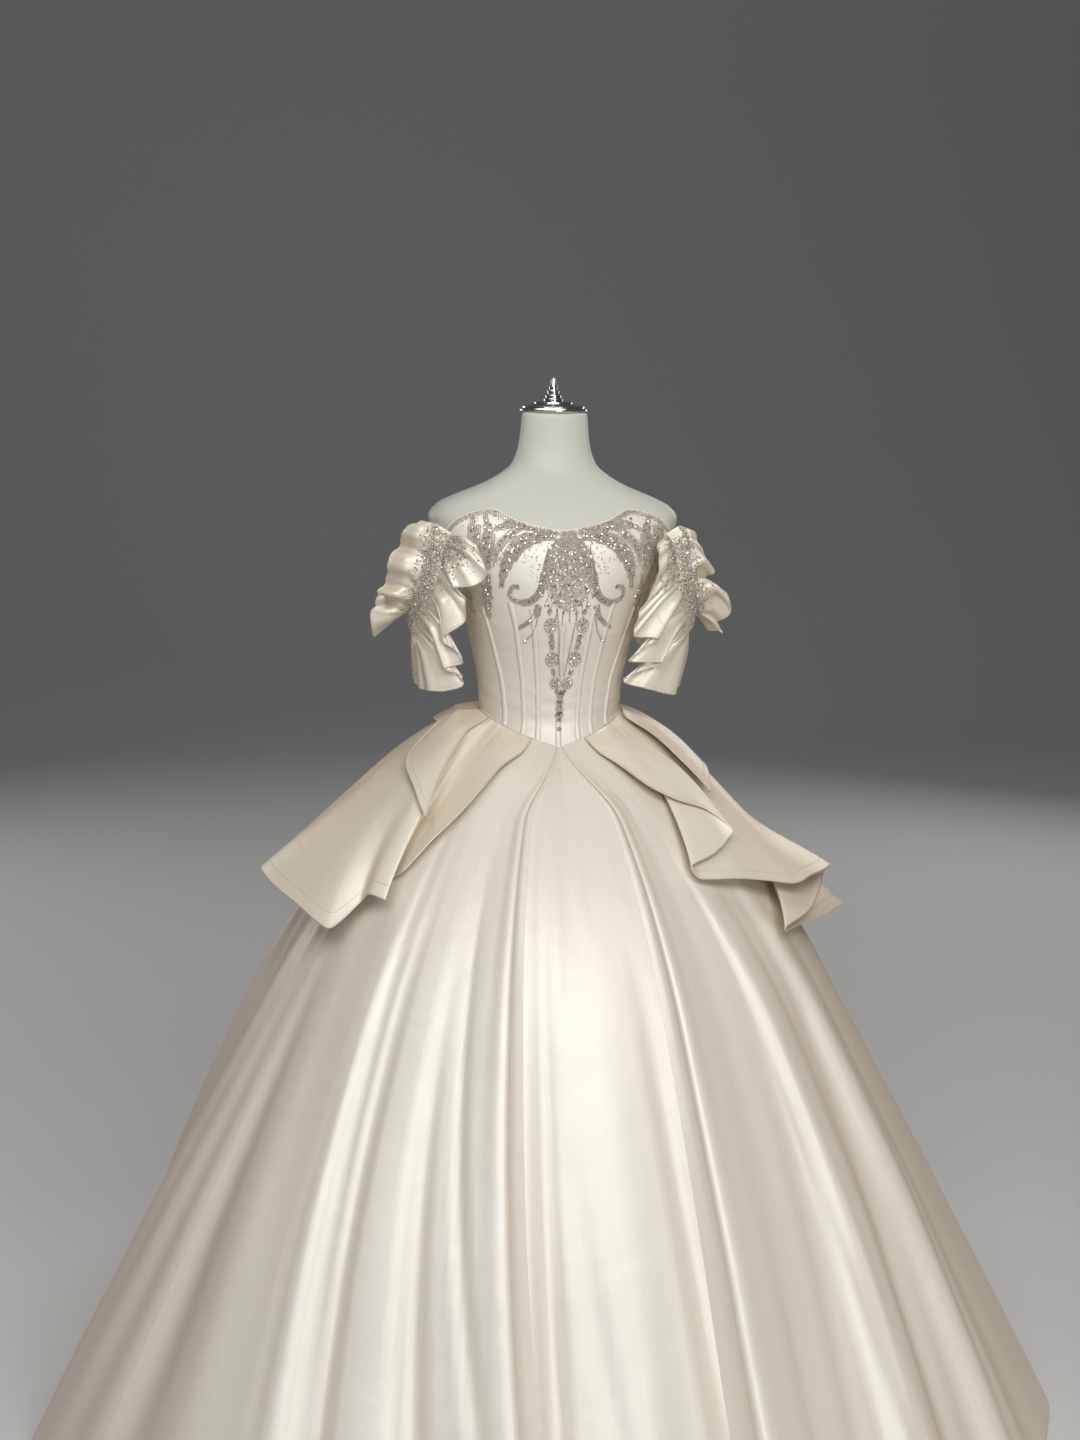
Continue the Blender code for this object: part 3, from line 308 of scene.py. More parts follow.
INNER_RIGHT = [
    (0.02, 0.162, -0.100, 1.336, 0.145, -0.112, 1.324),
    (0.08, 0.163, -0.108, 1.312, 0.147, -0.120, 1.296),
    (0.14, 0.162, -0.110, 1.284, 0.138, -0.122, 1.256),
    (0.20, 0.160, -0.108, 1.258, 0.118, -0.120, 1.220),
    (0.24, 0.160, -0.104, 1.240, 0.110, -0.114, 1.184),
    (0.28, 0.180, -0.098, 1.228, 0.150, -0.106, 1.178),
    (0.32, 0.170, -0.094, 1.214, 0.122, -0.100, 1.156),
    (0.35, 0.170, -0.091, 1.206, 0.108, -0.097, 1.142),
    (0.39, 0.188, -0.084, 1.190, 0.162, -0.088, 1.138),
    (0.43, 0.180, -0.075, 1.176, 0.122, -0.080, 1.120),
    (0.46, 0.180, -0.072, 1.168, 0.104, -0.077, 1.107),
    (0.50, 0.192, -0.066, 1.162, 0.146, -0.074, 1.094),
    (0.56, 0.210, -0.044, 1.154, 0.190, -0.052, 1.082),
    (0.62, 0.218, -0.010, 1.150, 0.206, -0.014, 1.096),
    (0.69, 0.217, 0.040, 1.156, 0.212, 0.040, 1.100),
    (0.77, 0.206, 0.074, 1.174, 0.202, 0.074, 1.108),
    (0.85, 0.184, 0.098, 1.196, 0.178, 0.100, 1.125),
    (0.93, 0.160, 0.102, 1.214, 0.152, 0.106, 1.155),
    (1.00, 0.142, 0.096, 1.238, 0.136, 0.100, 1.205),
]

# Neck cap and finial, from the bottom up: radius, height
CAP_PROFILE = [(0.0500, 1.5183), (0.0535, 1.5200), (0.0535, 1.5225), (0.0490, 1.5245),
               (0.0490, 1.5270), (0.0300, 1.5310), (0.0300, 1.5335), (0.0190, 1.5350)]
FINIAL_PROFILE = [(0.0150, 1.5353), (0.0150, 1.5385), (0.0120, 1.5400), (0.0125, 1.5440),
                  (0.0085, 1.5460), (0.0095, 1.5510), (0.0060, 1.5530), (0.0070, 1.5580),
                  (0.0042, 1.5600), (0.0040, 1.5660), (0.0016, 1.5730)]

CASING_TOP = 1.205        # the front casings end under the beadwork
BONE_LIFT = 0.0018        # beads that lie over a casing stand this much higher


# Curves and surfaces

def through(knots, values, at):
    """A smooth curve through the values, without overshoot, read at each entry of at."""
    at = np.asarray(at, float)
    knots = np.asarray(knots, float)
    values = [np.broadcast_to(np.asarray(v, float), at.shape) for v in values]
    steps = np.diff(knots)
    rates = [(b - a) / s for a, b, s in zip(values, values[1:], steps)]
    slopes = [rates[0]]
    for i in range(1, len(rates)):
        a, b = rates[i - 1], rates[i]
        wa, wb = 2 * steps[i] + steps[i - 1], steps[i] + 2 * steps[i - 1]
        safe_a = np.where(a * b > 0, a, 1.0)
        safe_b = np.where(a * b > 0, b, 1.0)
        slopes.append(np.where(a * b > 0, (wa + wb) / (wa / safe_a + wb / safe_b), 0.0))
    slopes.append(rates[-1])
    result = np.zeros(at.shape)
    place = np.clip(np.searchsorted(knots, at, side="right") - 1, 0, len(steps) - 1)
    for i, step in enumerate(steps):
        here = place == i
        t = np.clip((at - knots[i]) / step, 0.0, 1.0)
        shape = ((2 * t**3 - 3 * t**2 + 1) * values[i] + (t**3 - 2 * t**2 + t) * step * slopes[i]
                 + (3 * t**2 - 2 * t**3) * values[i + 1] + (t**3 - t**2) * step * slopes[i + 1])
        result = np.where(here, shape, result)
    return result


def column(table, index):
    return [row[index] for row in table]


def along(table, index, at):
    """One column of a table, read by its first column."""
    return through(column(table, 0), column(table, index), at)


def signed_power(value, power):
    return np.sign(value) * np.abs(value) ** power


def unit(vectors):
    return vectors / np.maximum(np.linalg.norm(vectors, axis=-1, keepdims=True), 1e-12)


def normal_of(surface, u, v, step):
    """Unit normals of a surface at places on it."""
    return unit(np.cross(surface(u + step, v) - surface(u - step, v),
                         surface(u, v + step) - surface(u, v - step)))


def surface_places(u, v):
    """Both coordinates as arrays of one shape."""
    return np.broadcast_arrays(np.asarray(u, float), np.asarray(v, float))


def form_point(angle, height, off):
    """A point at a distance off outside the dress form; the angle in degrees is 0 at the front."""
    s, c = np.sin(np.radians(angle)), np.cos(np.radians(angle))
    width = along(FORM_SECTIONS, 1, height) + off
    depth = np.where(c > 0, along(FORM_SECTIONS, 2, height), along(FORM_SECTIONS, 3, height)) + off
    power = 2.0 / along(FORM_SECTIONS, 4, height)
    return np.stack([width * signed_power(s, power), -depth * signed_power(c, power),
                     height + 0 * s], axis=-1)


def waist_height(angle):
    s, c = np.sin(np.radians(angle)), np.cos(np.radians(angle))
    dip = np.where(c > 0, (1.0 - np.minimum(np.abs(s), 1.0)) ** 0.85, 0.0)
    return WAIST_HEIGHT - WAIST_POINT_DROP * dip


def skirt_at(angle, drop, stand):
    """The skirt before its folds, stand out from it, at a share of its drop."""
    s, c = np.sin(np.radians(angle)), np.cos(np.radians(angle))
    top = form_point(angle, waist_height(angle), CLOTH_GAP + BODICE_WALL + SKIRT_OVER_BODICE)
    reach = along(HEM_PLAN, 1, angle) - np.hypot(top[..., 0], top[..., 1])
    fuller = np.minimum(np.abs(s), 1.0) ** 14
    share = along(FLARE, 1, drop) * (1 - fuller) + along(FLARE, 2, drop) * fuller
    out = reach * share + stand
    height = waist_height(angle) * (1 - drop) + HEM_HEIGHT * drop - SKIRT_LOWER
    return np.stack([top[..., 0] + s * out, top[..., 1] - c * out, height], axis=-1)


def skirt(hem_angle, drop):
    """The outer face of the folded skirt."""
    hem_angle, drop = surface_places(hem_angle, drop)
    hems = column(SKIRT_FOLDS, 3)
    angle = through(FOLD_LEVELS, [through(hems, column(SKIRT_FOLDS, i), hem_angle)
                                  for i in range(4)], drop)
    rise = np.zeros(hem_angle.shape)
    for row in SKIRT_FOLDS:
        height = through(FOLD_LEVELS, (0.0,) + tuple(h / 1000 for h in row[4:7]), drop)
        away = hem_angle - row[3]
        reach = np.clip(np.where(away < 0, -away / row[7], away / row[8]), 0.0, 1.0)
        rise = rise + height * np.cos(reach * math.pi / 2) ** 2
    return skirt_at(angle, drop, rise)


def peplum(table):
    """A frill hung from the waist over the skirt, by row number and share of its depth."""
    rows = np.arange(len(table))

    def surface(u, v):
        u, v = surface_places(u, v)

        def level(index):
            return through(rows, column(table, index), u)
        angle = through(FRILL_LEVELS, [level(0), level(2), level(5), level(8)], v)
        top = waist_height(level(0)) + (level(1) - 2.4) * 0.0008
        height = through(FRILL_LEVELS, [top, level(3), level(6), level(9)], v)
        stand = through(FRILL_LEVELS, [level(1), level(4), level(7), level(10)], v) / 1000
        drop = (waist_height(angle) - height) / (waist_height(angle) - HEM_HEIGHT)
        point = skirt_at(angle, np.maximum(drop, 0.0), stand)
        point[..., 2] = height
        return point
    return surface


def band_frame(share, side):
    """The middle of a sleeve band, and the directions across it and out of it."""
    share = np.clip(np.asarray(share, float), 0.0, 1.0)

    def middle(at):
        return np.stack([side * -along(BAND, 1, at), along(BAND, 2, at), along(BAND, 3, at)],
                        axis=-1)
    point = middle(share)
    ahead = unit(middle(np.minimum(share + 0.01, 1.0)) - middle(np.maximum(share - 0.01, 0.0)))
    out = point - np.array([side * ARM_MIDDLE[0], ARM_MIDDLE[1], 0.0])
    out[..., 2] = 0.0
    out = unit(out)
    return point, unit(np.cross(ahead, out) * -side), out


def band(side):
    def surface(u, v):
        point, across = band_frame(u, side)[:2]
        return point + across * (BAND_HALF_WIDTH * v)[..., None]
    return surface


def frill(table, side, edge):
    """A sleeve frill from one edge of its band: edge +1 is the outer, -1 the inner."""
    rows = np.arange(len(table))

    def surface(u, v):
        u, v = surface_places(u, v)

        def level(index):
            return through(rows, column(table, index), u)
        point, across = band_frame(level(0), side)[:2]
        root = point + across * edge * (BAND_HALF_WIDTH + FRILL_ROOT_GAP)
        parts = [through((0.0, 0.5, 1.0), [root[..., k], level(1 + k), level(4 + k)], v)
                 for k in range(3)]
        return np.stack(parts, axis=-1)
    return surface


def seam_angle(seam, height):
    """The angle of a bodice seam at a height."""
    return through(SEAM_LEVELS, seam[1:], height)


# Sizes and colours that a user would change

class GownCloth(bpy.types.PropertyGroup):
    """The satin and its finish"""
    satin: FloatVectorProperty(
        name="Satin", description="Colour of the skirt and bodice satin", subtype="COLOR",
        size=4, min=0.0, max=1.0, default=(0.755, 0.722, 0.648, 1.0))
    frill_satin: FloatVectorProperty(
        name="Frill satin", description="Colour of the peplums and sleeves", subtype="COLOR",
        size=4, min=0.0, max=1.0, default=(0.770, 0.722, 0.618, 1.0))
    thread: FloatVectorProperty(
        name="Thread", description="Colour of the stitching", subtype="COLOR",
        size=4, min=0.0, max=1.0, default=(0.60, 0.52, 0.40, 1.0))
    roughness: FloatProperty(
        name="Roughness", description="Roughness of the satin's gloss", min=0.1, max=1.0,
        default=0.42)
    crease: FloatProperty(
        name="Crease height", description="Height of the soft creases in the cloth",
        subtype="DISTANCE", min=0.0, max=0.01, default=0.0016)
    hem_roll: FloatProperty(
        name="Hem roll", description="Radius of the rolled edge of the frills",
        subtype="DISTANCE", min=0.0003, max=0.004, default=0.0014)


class GownBodice(bpy.types.PropertyGroup):
    """The boned bodice"""
    casing_width: FloatProperty(
        name="Casing width", description="Width of a bone casing", subtype="DISTANCE",
        min=0.004, max=0.02, default=0.0082)
    casing_rise: FloatProperty(
        name="Casing rise", description="Height of a bone casing over the panels",
        subtype="DISTANCE", min=0.0, max=0.003, default=0.0018)
    drag: FloatProperty(
        name="Drag lines", description="Depth of the cloth's drag lines between the bones",
        subtype="DISTANCE", min=0.0, max=0.002, default=0.0005)


class GownBeads(bpy.types.PropertyGroup):
    """The beadwork"""
    seed: FloatProperty(
        name="Seed bead", description="Diameter of a seed bead", subtype="DISTANCE",
        min=0.0008, max=0.004, default=0.0024)
    silver: FloatVectorProperty(
        name="Bead silver", description="Colour of the beads' silver lining", subtype="COLOR",
        size=4, min=0.0, max=1.0, default=(0.58, 0.53, 0.46, 1.0))
    crystal: FloatVectorProperty(
        name="Stones", description="Colour of the cut stones", subtype="COLOR",
        size=4, min=0.0, max=1.0, default=(0.62, 0.60, 0.55, 1.0))
    shuffle: IntProperty(
        name="Shuffle", description="Seed of the small differences between beads", default=7)


class GownZip(bpy.types.PropertyGroup):
    """The zip at the centre back"""
    pitch: FloatProperty(
        name="Pitch", description="Distance from one tooth to the next", subtype="DISTANCE",
        min=0.0008, max=0.004, default=0.0016)
    coil: FloatVectorProperty(
        name="Coil", description="Colour of the zip's coil", subtype="COLOR",
        size=4, min=0.0, max=1.0, default=(0.66, 0.61, 0.52, 1.0))
    metal: FloatVectorProperty(
        name="Slider", description="Colour of the slider's metal", subtype="COLOR",
        size=4, min=0.0, max=1.0, default=(0.62, 0.61, 0.58, 1.0))


class GownForm(bpy.types.PropertyGroup):
    """The dress form and its stand"""
    shell: FloatVectorProperty(
        name="Shell", description="Colour of the form's matt shell", subtype="COLOR",
        size=4, min=0.0, max=1.0, default=(0.54, 0.54, 0.48, 1.0))
    metal: FloatVectorProperty(
        name="Metal", description="Colour of the polished cap and finial", subtype="COLOR",
        size=4, min=0.0, max=1.0, default=(0.72, 0.71, 0.69, 1.0))
    enamel: FloatVectorProperty(
        name="Enamel", description="Colour of the stand's enamel", subtype="COLOR",
        size=4, min=0.0, max=1.0, default=(0.72, 0.72, 0.70, 1.0))


class GownStage(bpy.types.PropertyGroup):
    """The studio"""
    floor: FloatVectorProperty(
        name="Floor", description="Colour of the floor and backdrop", subtype="COLOR",
        size=4, min=0.0, max=1.0, default=(0.60, 0.60, 0.60, 1.0))
    key: FloatProperty(
        name="Key light", description="Strength of the large soft light", subtype="POWER",
        min=0.0, max=2000.0, default=107.0)
    fill: FloatProperty(
        name="Fill light", description="Strength of the lights in front and above",
        subtype="POWER", min=0.0, max=2000.0, default=30.0)
    back: FloatProperty(
        name="Back lights", description="Strength of the two lights behind",
        subtype="POWER", min=0.0, max=2000.0, default=22.0)
    sky: FloatProperty(
        name="Room light", description="Strength of the light all round", min=0.0, max=2.0,
        default=0.07)
    lens: FloatProperty(
        name="Lens", description="Focal length on a 36 mm long side", subtype="DISTANCE_CAMERA",
        min=10.0, max=200.0, default=50.95)


# Materials

SATIN_FINISH = {"Metallic": 0.10, "Specular IOR Level": 0.80, "Sheen Weight": 0.06,
                "Sheen Roughness": 0.4, "Sheen Tint": (1.0, 0.92, 0.80, 1.0)}
FLANK_SHADE_TINT = (0.93, 0.79, 0.65)  # painted shade: shares of the satin's colour left where it turns away from the view, darker and warmer, standing in for shade and warm reflected light on the flanks of folds


def colour_of(value, strength=1.0):
    return (value[0] * strength, value[1] * strength, value[2] * strength, 1.0)


def socketed(group, wanted):
    """The group's named sockets: (name, in or out, type, default)."""
    for name, way, kind, default in wanted:
        socket = group.interface.new_socket(
            name, in_out="INPUT" if way == "in" else "OUTPUT", socket_type=kind)
        if default is not None:
            socket.default_value = default
    return group


def new_node(tree, kind, values=(), **settings):
    """A new node with its settings, and the values of its inputs by name or number."""
    node = tree.nodes.new("ShaderNode" + kind)
    for key, value in settings.items():
        setattr(node, key, value)
    for key, value in dict(values).items():
        node.inputs[key].default_value = value
    return node


def noise(tree, where, scale, values, **settings):
    """A noise read over the cloth at a scale."""
    node = new_node(tree, "TexNoise", values, **settings)
    tree.links.new(where, node.inputs["Vector"])
    tree.links.new(scale, node.inputs["Scale"])
    return node.outputs["Fac"]


def soft_creases():
    """Creases that run down the cloth, and faint dents across it, as a height from 0 to 1."""
    group = bpy.data.node_groups.get("Soft creases")
    if group:
        return group
    group = socketed(bpy.data.node_groups.new("Soft creases", "ShaderNodeTree"), [
        ("Cloth", "in", "NodeSocketVector", None), ("Creases", "in", "NodeSocketFloat", 9.0),
        ("Stretch", "in", "NodeSocketFloat", 0.22), ("Height", "out", "NodeSocketFloat", None)])
    nodes, link = group.nodes, group.links.new
    inside, outside = nodes.new("NodeGroupInput"), nodes.new("NodeGroupOutput")
    cloth, creases = inside.outputs["Cloth"], inside.outputs["Creases"]
    split = new_node(group, "SeparateXYZ")
    link(cloth, split.inputs[0])
    along_cloth = new_node(group, "Math", operation="MULTIPLY")
    link(split.outputs["Y"], along_cloth.inputs[0])
    link(inside.outputs["Stretch"], along_cloth.inputs[1])
    joined = new_node(group, "CombineXYZ")
    link(split.outputs["X"], joined.inputs["X"])
    link(along_cloth.outputs[0], joined.inputs["Y"])
    mixed = new_node(group, "Mix", {"Factor": 0.40})
    link(noise(group, joined.outputs[0], creases,
               {"Detail": 3.0, "Roughness": 0.45, "Distortion": 0.6}), mixed.inputs["A"])
    link(noise(group, cloth, creases,
               {"Detail": 2.0, "Roughness": 0.5, "Distortion": 1.2}), mixed.inputs["B"])
    finer = new_node(group, "Math", {1: 1.9}, operation="MULTIPLY")
    link(creases, finer.inputs[0])
    total = new_node(group, "Math", {1: 0.05}, operation="MULTIPLY_ADD")
    link(noise(group, cloth, finer.outputs[0],
               {"Detail": 1.5, "Roughness": 0.35, "Distortion": 1.6},
               noise_type="RIDGED_MULTIFRACTAL"), total.inputs[0])
    link(mixed.outputs["Result"], total.inputs[2])
    link(total.outputs[0], outside.inputs["Height"])
    return group


def satin_weave():
    """The floats of the weave: fine ribs along the warp, and slubs that darken a little."""
    group = bpy.data.node_groups.get("Satin weave")
    if group:
        return group
    group = socketed(bpy.data.node_groups.new("Satin weave", "ShaderNodeTree"), [
        ("Cloth", "in", "NodeSocketVector", None), ("Threads", "in", "NodeSocketFloat", 900.0),
        ("Height", "out", "NodeSocketFloat", None), ("Tone", "out", "NodeSocketFloat", None)])
    nodes, link = group.nodes, group.links.new
    inside, outside = nodes.new("NodeGroupInput"), nodes.new("NodeGroupOutput")
    ribs = new_node(group, "TexWave", {"Distortion": 1.5, "Detail": 1.0})
    link(inside.outputs["Cloth"], ribs.inputs["Vector"])
    link(inside.outputs["Threads"], ribs.inputs["Scale"])
    stretch = new_node(group, "VectorMath", {1: (260.0, 9.0, 1.0)}, operation="MULTIPLY")
    link(inside.outputs["Cloth"], stretch.inputs[0])
    slubs = new_node(group, "TexNoise", {"Scale": 1.0, "Detail": 2.0})
    link(stretch.outputs[0], slubs.inputs["Vector"])
    total = new_node(group, "Math", {1: 0.5}, operation="MULTIPLY_ADD")
    link(ribs.outputs["Fac"], total.inputs[0])
    link(slubs.outputs["Fac"], total.inputs[2])
    link(total.outputs[0], outside.inputs["Height"])
    link(slubs.outputs["Fac"], outside.inputs["Tone"])
    return group


def plain_material(name, colour, roughness, metallic=0.0):
    made = bpy.data.materials.get(name)
    if made:
        return made
    made = bpy.data.materials.new(name)
    made.use_nodes = True
    shader = made.node_tree.nodes["Principled BSDF"]
    shader.inputs["Base Color"].default_value = colour
    shader.inputs["Roughness"].default_value = roughness
    shader.inputs["Metallic"].default_value = metallic
    return made


def thread_of(cloth_look):
    return plain_material("thread", colour_of(cloth_look.thread), 0.6)


def bumped(tree, height, distance, strength, under=None):
    bump = new_node(tree, "Bump", {"Distance": distance, "Strength": strength})
    tree.links.new(height, bump.inputs["Height"])
    if under is not None:
        tree.links.new(under, bump.inputs["Normal"])
    return bump.outputs["Normal"]


def satin(name, colour, cloth_look, creases=9.0, stretch=0.22, crease_height=1.0, shine=1.0):
    """Duchess satin: a heavy cloth with a soft broad gloss, and painted shade where it turns away
    from the view.
    """
    made = bpy.data.materials.get(name)
    if made:
        return made
    made = plain_material(name, colour_of(colour), cloth_look.roughness / shine)
    tree = made.node_tree
    link = tree.links.new
    shader = tree.nodes["Principled BSDF"]
    for key, value in SATIN_FINISH.items():
        shader.inputs[key].default_value = value
    cloth = new_node(tree, "TexCoord").outputs["UV"]
    crease = new_node(tree, "Group", {"Creases": creases, "Stretch": stretch},
                      node_tree=soft_creases())
    weave = new_node(tree, "Group", {"Threads": 900.0}, node_tree=satin_weave())
    link(cloth, crease.inputs["Cloth"])
    link(cloth, weave.inputs["Cloth"])
    folds = bumped(tree, crease.outputs["Height"], cloth_look.crease * 4.0 * crease_height, 0.6)
    link(bumped(tree, weave.outputs["Height"], 0.00008, 0.35, folds), shader.inputs["Normal"])
    shade = new_node(tree, "Mix", {6: colour_of(colour, 0.955), 7: colour_of(colour, 1.045)},
                     data_type="RGBA")
    link(weave.outputs["Tone"], shade.inputs["Factor"])
    # Painted shade: the colour turns darker and warmer where the cloth faces away from the view,
    # standing in for shade and warm reflected light in the folds.
    painted_shade_facing = new_node(tree, "LayerWeight", {"Blend": 0.42})
    painted_flank_colour = tuple(part * share for part, share in zip(colour, FLANK_SHADE_TINT)) + (1.0,)
    painted_flank_shade = new_node(tree, "Mix", {7: painted_flank_colour}, data_type="RGBA")
    link(painted_shade_facing.outputs["Facing"], painted_flank_shade.inputs["Factor"])
    link(shade.outputs[2], painted_flank_shade.inputs[6])
    link(painted_flank_shade.outputs[2], shader.inputs["Base Color"])
    return made


# Building meshes

def in_scene(name, data):
    made = bpy.data.objects.new(name, data)
    bpy.context.scene.collection.objects.link(made)
    return made


def piece(name, mesh, look, replaced=(), smooth=True):
    """The mesh as a finished piece that rides on the frame."""
    mesh.name = name
    made = in_scene(name, mesh)
    mesh.materials.clear()
    mesh.materials.append(look)
    if smooth:
        mesh.polygons.foreach_set("use_smooth", [True] * len(mesh.polygons))
    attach(made, "root")
    if replaced:
        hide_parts(*replaced)
    return made


def settled(name, bm, look, replaced=(), smooth=True):
    mesh = bpy.data.meshes.new(name)
    bm.to_mesh(mesh)
    bm.free()
    return piece(name, mesh, look, replaced, smooth)


def grid_normals(points):
    """Unit normals of a grid of points: the mean of the unit normals of the cells around each."""
    edge_u = points[:-1, 1:] + points[1:, 1:] - points[:-1, :-1] - points[1:, :-1]
    edge_v = points[1:, :-1] + points[1:, 1:] - points[:-1, :-1] - points[:-1, 1:]
    cells = unit(np.cross(edge_u, edge_v))
    total = np.zeros(points.shape)
    for rows in (slice(None, -1), slice(1, None)):
        for columns in (slice(None, -1), slice(1, None)):
            total[rows, columns] += cells
    return unit(total)


def wall_mesh(bm, outer, inner):
    """Adds a closed wall between two grids of points to bm, with cloth lengths as UVs."""
    rows, columns = outer.shape[:2]
    facing = np.cross(outer[:-1, 1:] - outer[:-1, :-1], outer[1:, :-1] - outer[:-1, :-1])
    if np.sum(facing * (outer - inner)[:-1, :-1]) < 0:
        outer, inner = outer[:, ::-1], inner[:, ::-1]
    across = np.linalg.norm(np.diff(outer, axis=1), axis=-1).mean(axis=0)
    down = np.linalg.norm(np.diff(outer, axis=0), axis=-1)
    us = np.concatenate([[0.0], np.cumsum(across)])
    vs = np.concatenate([np.zeros((1, columns)), np.cumsum(down, axis=0)])
    layer = bm.loops.layers.uv.get("cloth") or bm.loops.layers.uv.new("cloth")
    grid = bmesh.ops.create_grid(bm, x_segments=columns - 1, y_segments=rows - 1, size=1.0)
    front = grid["verts"]
    face_side = list({face for vert in front for face in vert.link_faces})
    face_edges = list({edge for vert in front for edge in vert.link_edges})
    copy = bmesh.ops.duplicate(bm, geom=front + face_edges + face_side)
    twins = copy["vert_map"]
    back = [e for e in copy["geom"] if isinstance(e, bmesh.types.BMFace)]
    bmesh.ops.reverse_faces(bm, faces=back)
    lengths = {}
    for index, vert in enumerate(front):
        i, j = divmod(index, columns)
        twin = twins[vert]
        vert.co = outer[i, j]
        twin.co = inner[i, j]
        lengths[vert] = lengths[twin] = (us[j], -vs[i, j])
    sides = []
    for edge in face_edges:
        if len(edge.link_faces) != 1:
            continue
        loop = edge.link_loops[0]
        a, b = loop.vert, loop.link_loop_next.vert
        sides.append(bm.faces.new((b, a, twins[a], twins[b])))
        edge.smooth = False
        bm.edges.get((twins[a], twins[b])).smooth = False
    for face in face_side + back + sides:
        for loop in face.loops:
            loop[layer].uv = lengths[loop.vert]


def walled(name, outer, inner, look, replaced=()):
    bm = bmesh.new()
    wall_mesh(bm, outer, inner)
    return settled(name, bm, look, replaced)


def trimmed(points, trim):
    """Moves the two sides of a grid of points in, so that its cloth stops short of the seams."""
    for edge, neighbour in ((0, 1), (-1, -2)):
        points[:, edge] += unit(points[:, neighbour] - points[:, edge]) * trim


def faces_of(surface, us, vs, wall, middle=False, trim=0.0, beyond=0.0):
    """The outer and the inner grid of a wall on a surface."""
    us, vs = np.asarray(us, float), np.asarray(vs, float)
    face = surface(*np.meshgrid(us, vs))
    if beyond:
        wide = np.concatenate([[us[0] - beyond], us, [us[-1] + beyond]])
        normal = grid_normals(surface(*np.meshgrid(wide, vs)))[:, 1:-1]
    else:
        normal = grid_normals(face)
    if trim:
        trimmed(face, trim)
    if np.sum(normal * (face - (0.0, 0.0, face[..., 2].mean())), axis=-1).mean() < 0:
        normal = -normal
    near = face + normal * wall / 2 if middle else face
    return near, near - normal * wall


def sheet_of(made):
    """Returns the piece as it is. A piece that tapers a lot states LEAST_AREA of the
    rectangle, which is more than its own area.
    """
    return made


def cords(name, paths, radius, look, roundness=2):
    """Round cords along paths: a bevelled curve made a mesh, with closed ends."""
    line = bpy.data.curves.new(name, "CURVE")
    line.dimensions = "3D"
    line.bevel_depth = radius
    line.bevel_resolution = roundness
    line.use_fill_caps = True
    for path in paths:
        spline = line.splines.new("POLY")
        spline.points.add(len(path) - 1)
        spline.points.foreach_set("co", np.insert(np.asarray(path), 3, 1.0, axis=-1).ravel())
    holder = bpy.data.objects.new(name, line)
    mesh = bpy.data.meshes.new_from_object(holder)
    bpy.data.objects.remove(holder)
    bpy.data.curves.remove(line)
    bm = bmesh.new()
    bm.from_mesh(mesh)
    bpy.data.meshes.remove(mesh)
    bmesh.ops.remove_doubles(bm, verts=bm.verts, dist=1e-7)
    bmesh.ops.recalc_face_normals(bm, faces=bm.faces)
    return settled(name, bm, look)


def rounded(bm, edges, offset, segments=2):
    """Rounds some edges of bm off."""
    bmesh.ops.bevel(bm, geom=edges, offset=offset, segments=segments, profile=0.5,
                    affect="EDGES", material=-1, offset_type="OFFSET")


def lathe(name, profile, segments, look, replaced, centre, squash=1.0, round_edges=0.0):
    """A turned piece: profile rows of radius and height, spun about its own axis."""
    bm = bmesh.new()
    line = [bm.verts.new((0.0, 0.0, profile[0][1]))]
    line += [bm.verts.new((radius, 0.0, height)) for radius, height in profile]
    line.append(bm.verts.new((0.0, 0.0, profile[-1][1])))
    edges = [bm.edges.new(pair) for pair in zip(line, line[1:])]
    bmesh.ops.spin(bm, geom=line + edges, cent=(0, 0, 0), axis=(0, 0, 1), angle=2 * math.pi,
                   steps=segments, use_merge=True, use_duplicate=False)
    bmesh.ops.remove_doubles(bm, verts=bm.verts, dist=1e-6)
    bmesh.ops.recalc_face_normals(bm, faces=bm.faces)
    if round_edges:
        rounded(bm, [e for e in bm.edges if e.is_manifold and e.calc_face_angle(0.0) > 0.5],
                round_edges)
    bmesh.ops.scale(bm, vec=(1.0, squash, 1.0), verts=bm.verts)
    bmesh.ops.translate(bm, vec=(centre[0], centre[1], 0.0), verts=bm.verts)
    return settled(name, bm, look, replaced)


# The dress form

RIM_INSET = 0.005          # the torso's two rims turn in by this much, in two steps
RIM_HALF_INSET = 0.0026
TORSO_COLUMNS = 144
TORSO_MIDDLE = (0.0, 0.02)  # the poles that close it
CAP_CENTRE = (0.0, 0.0195)
CAP_SQUASH = 0.875         # the cap's depth as a share of its width
CAP_EDGE = 0.00035


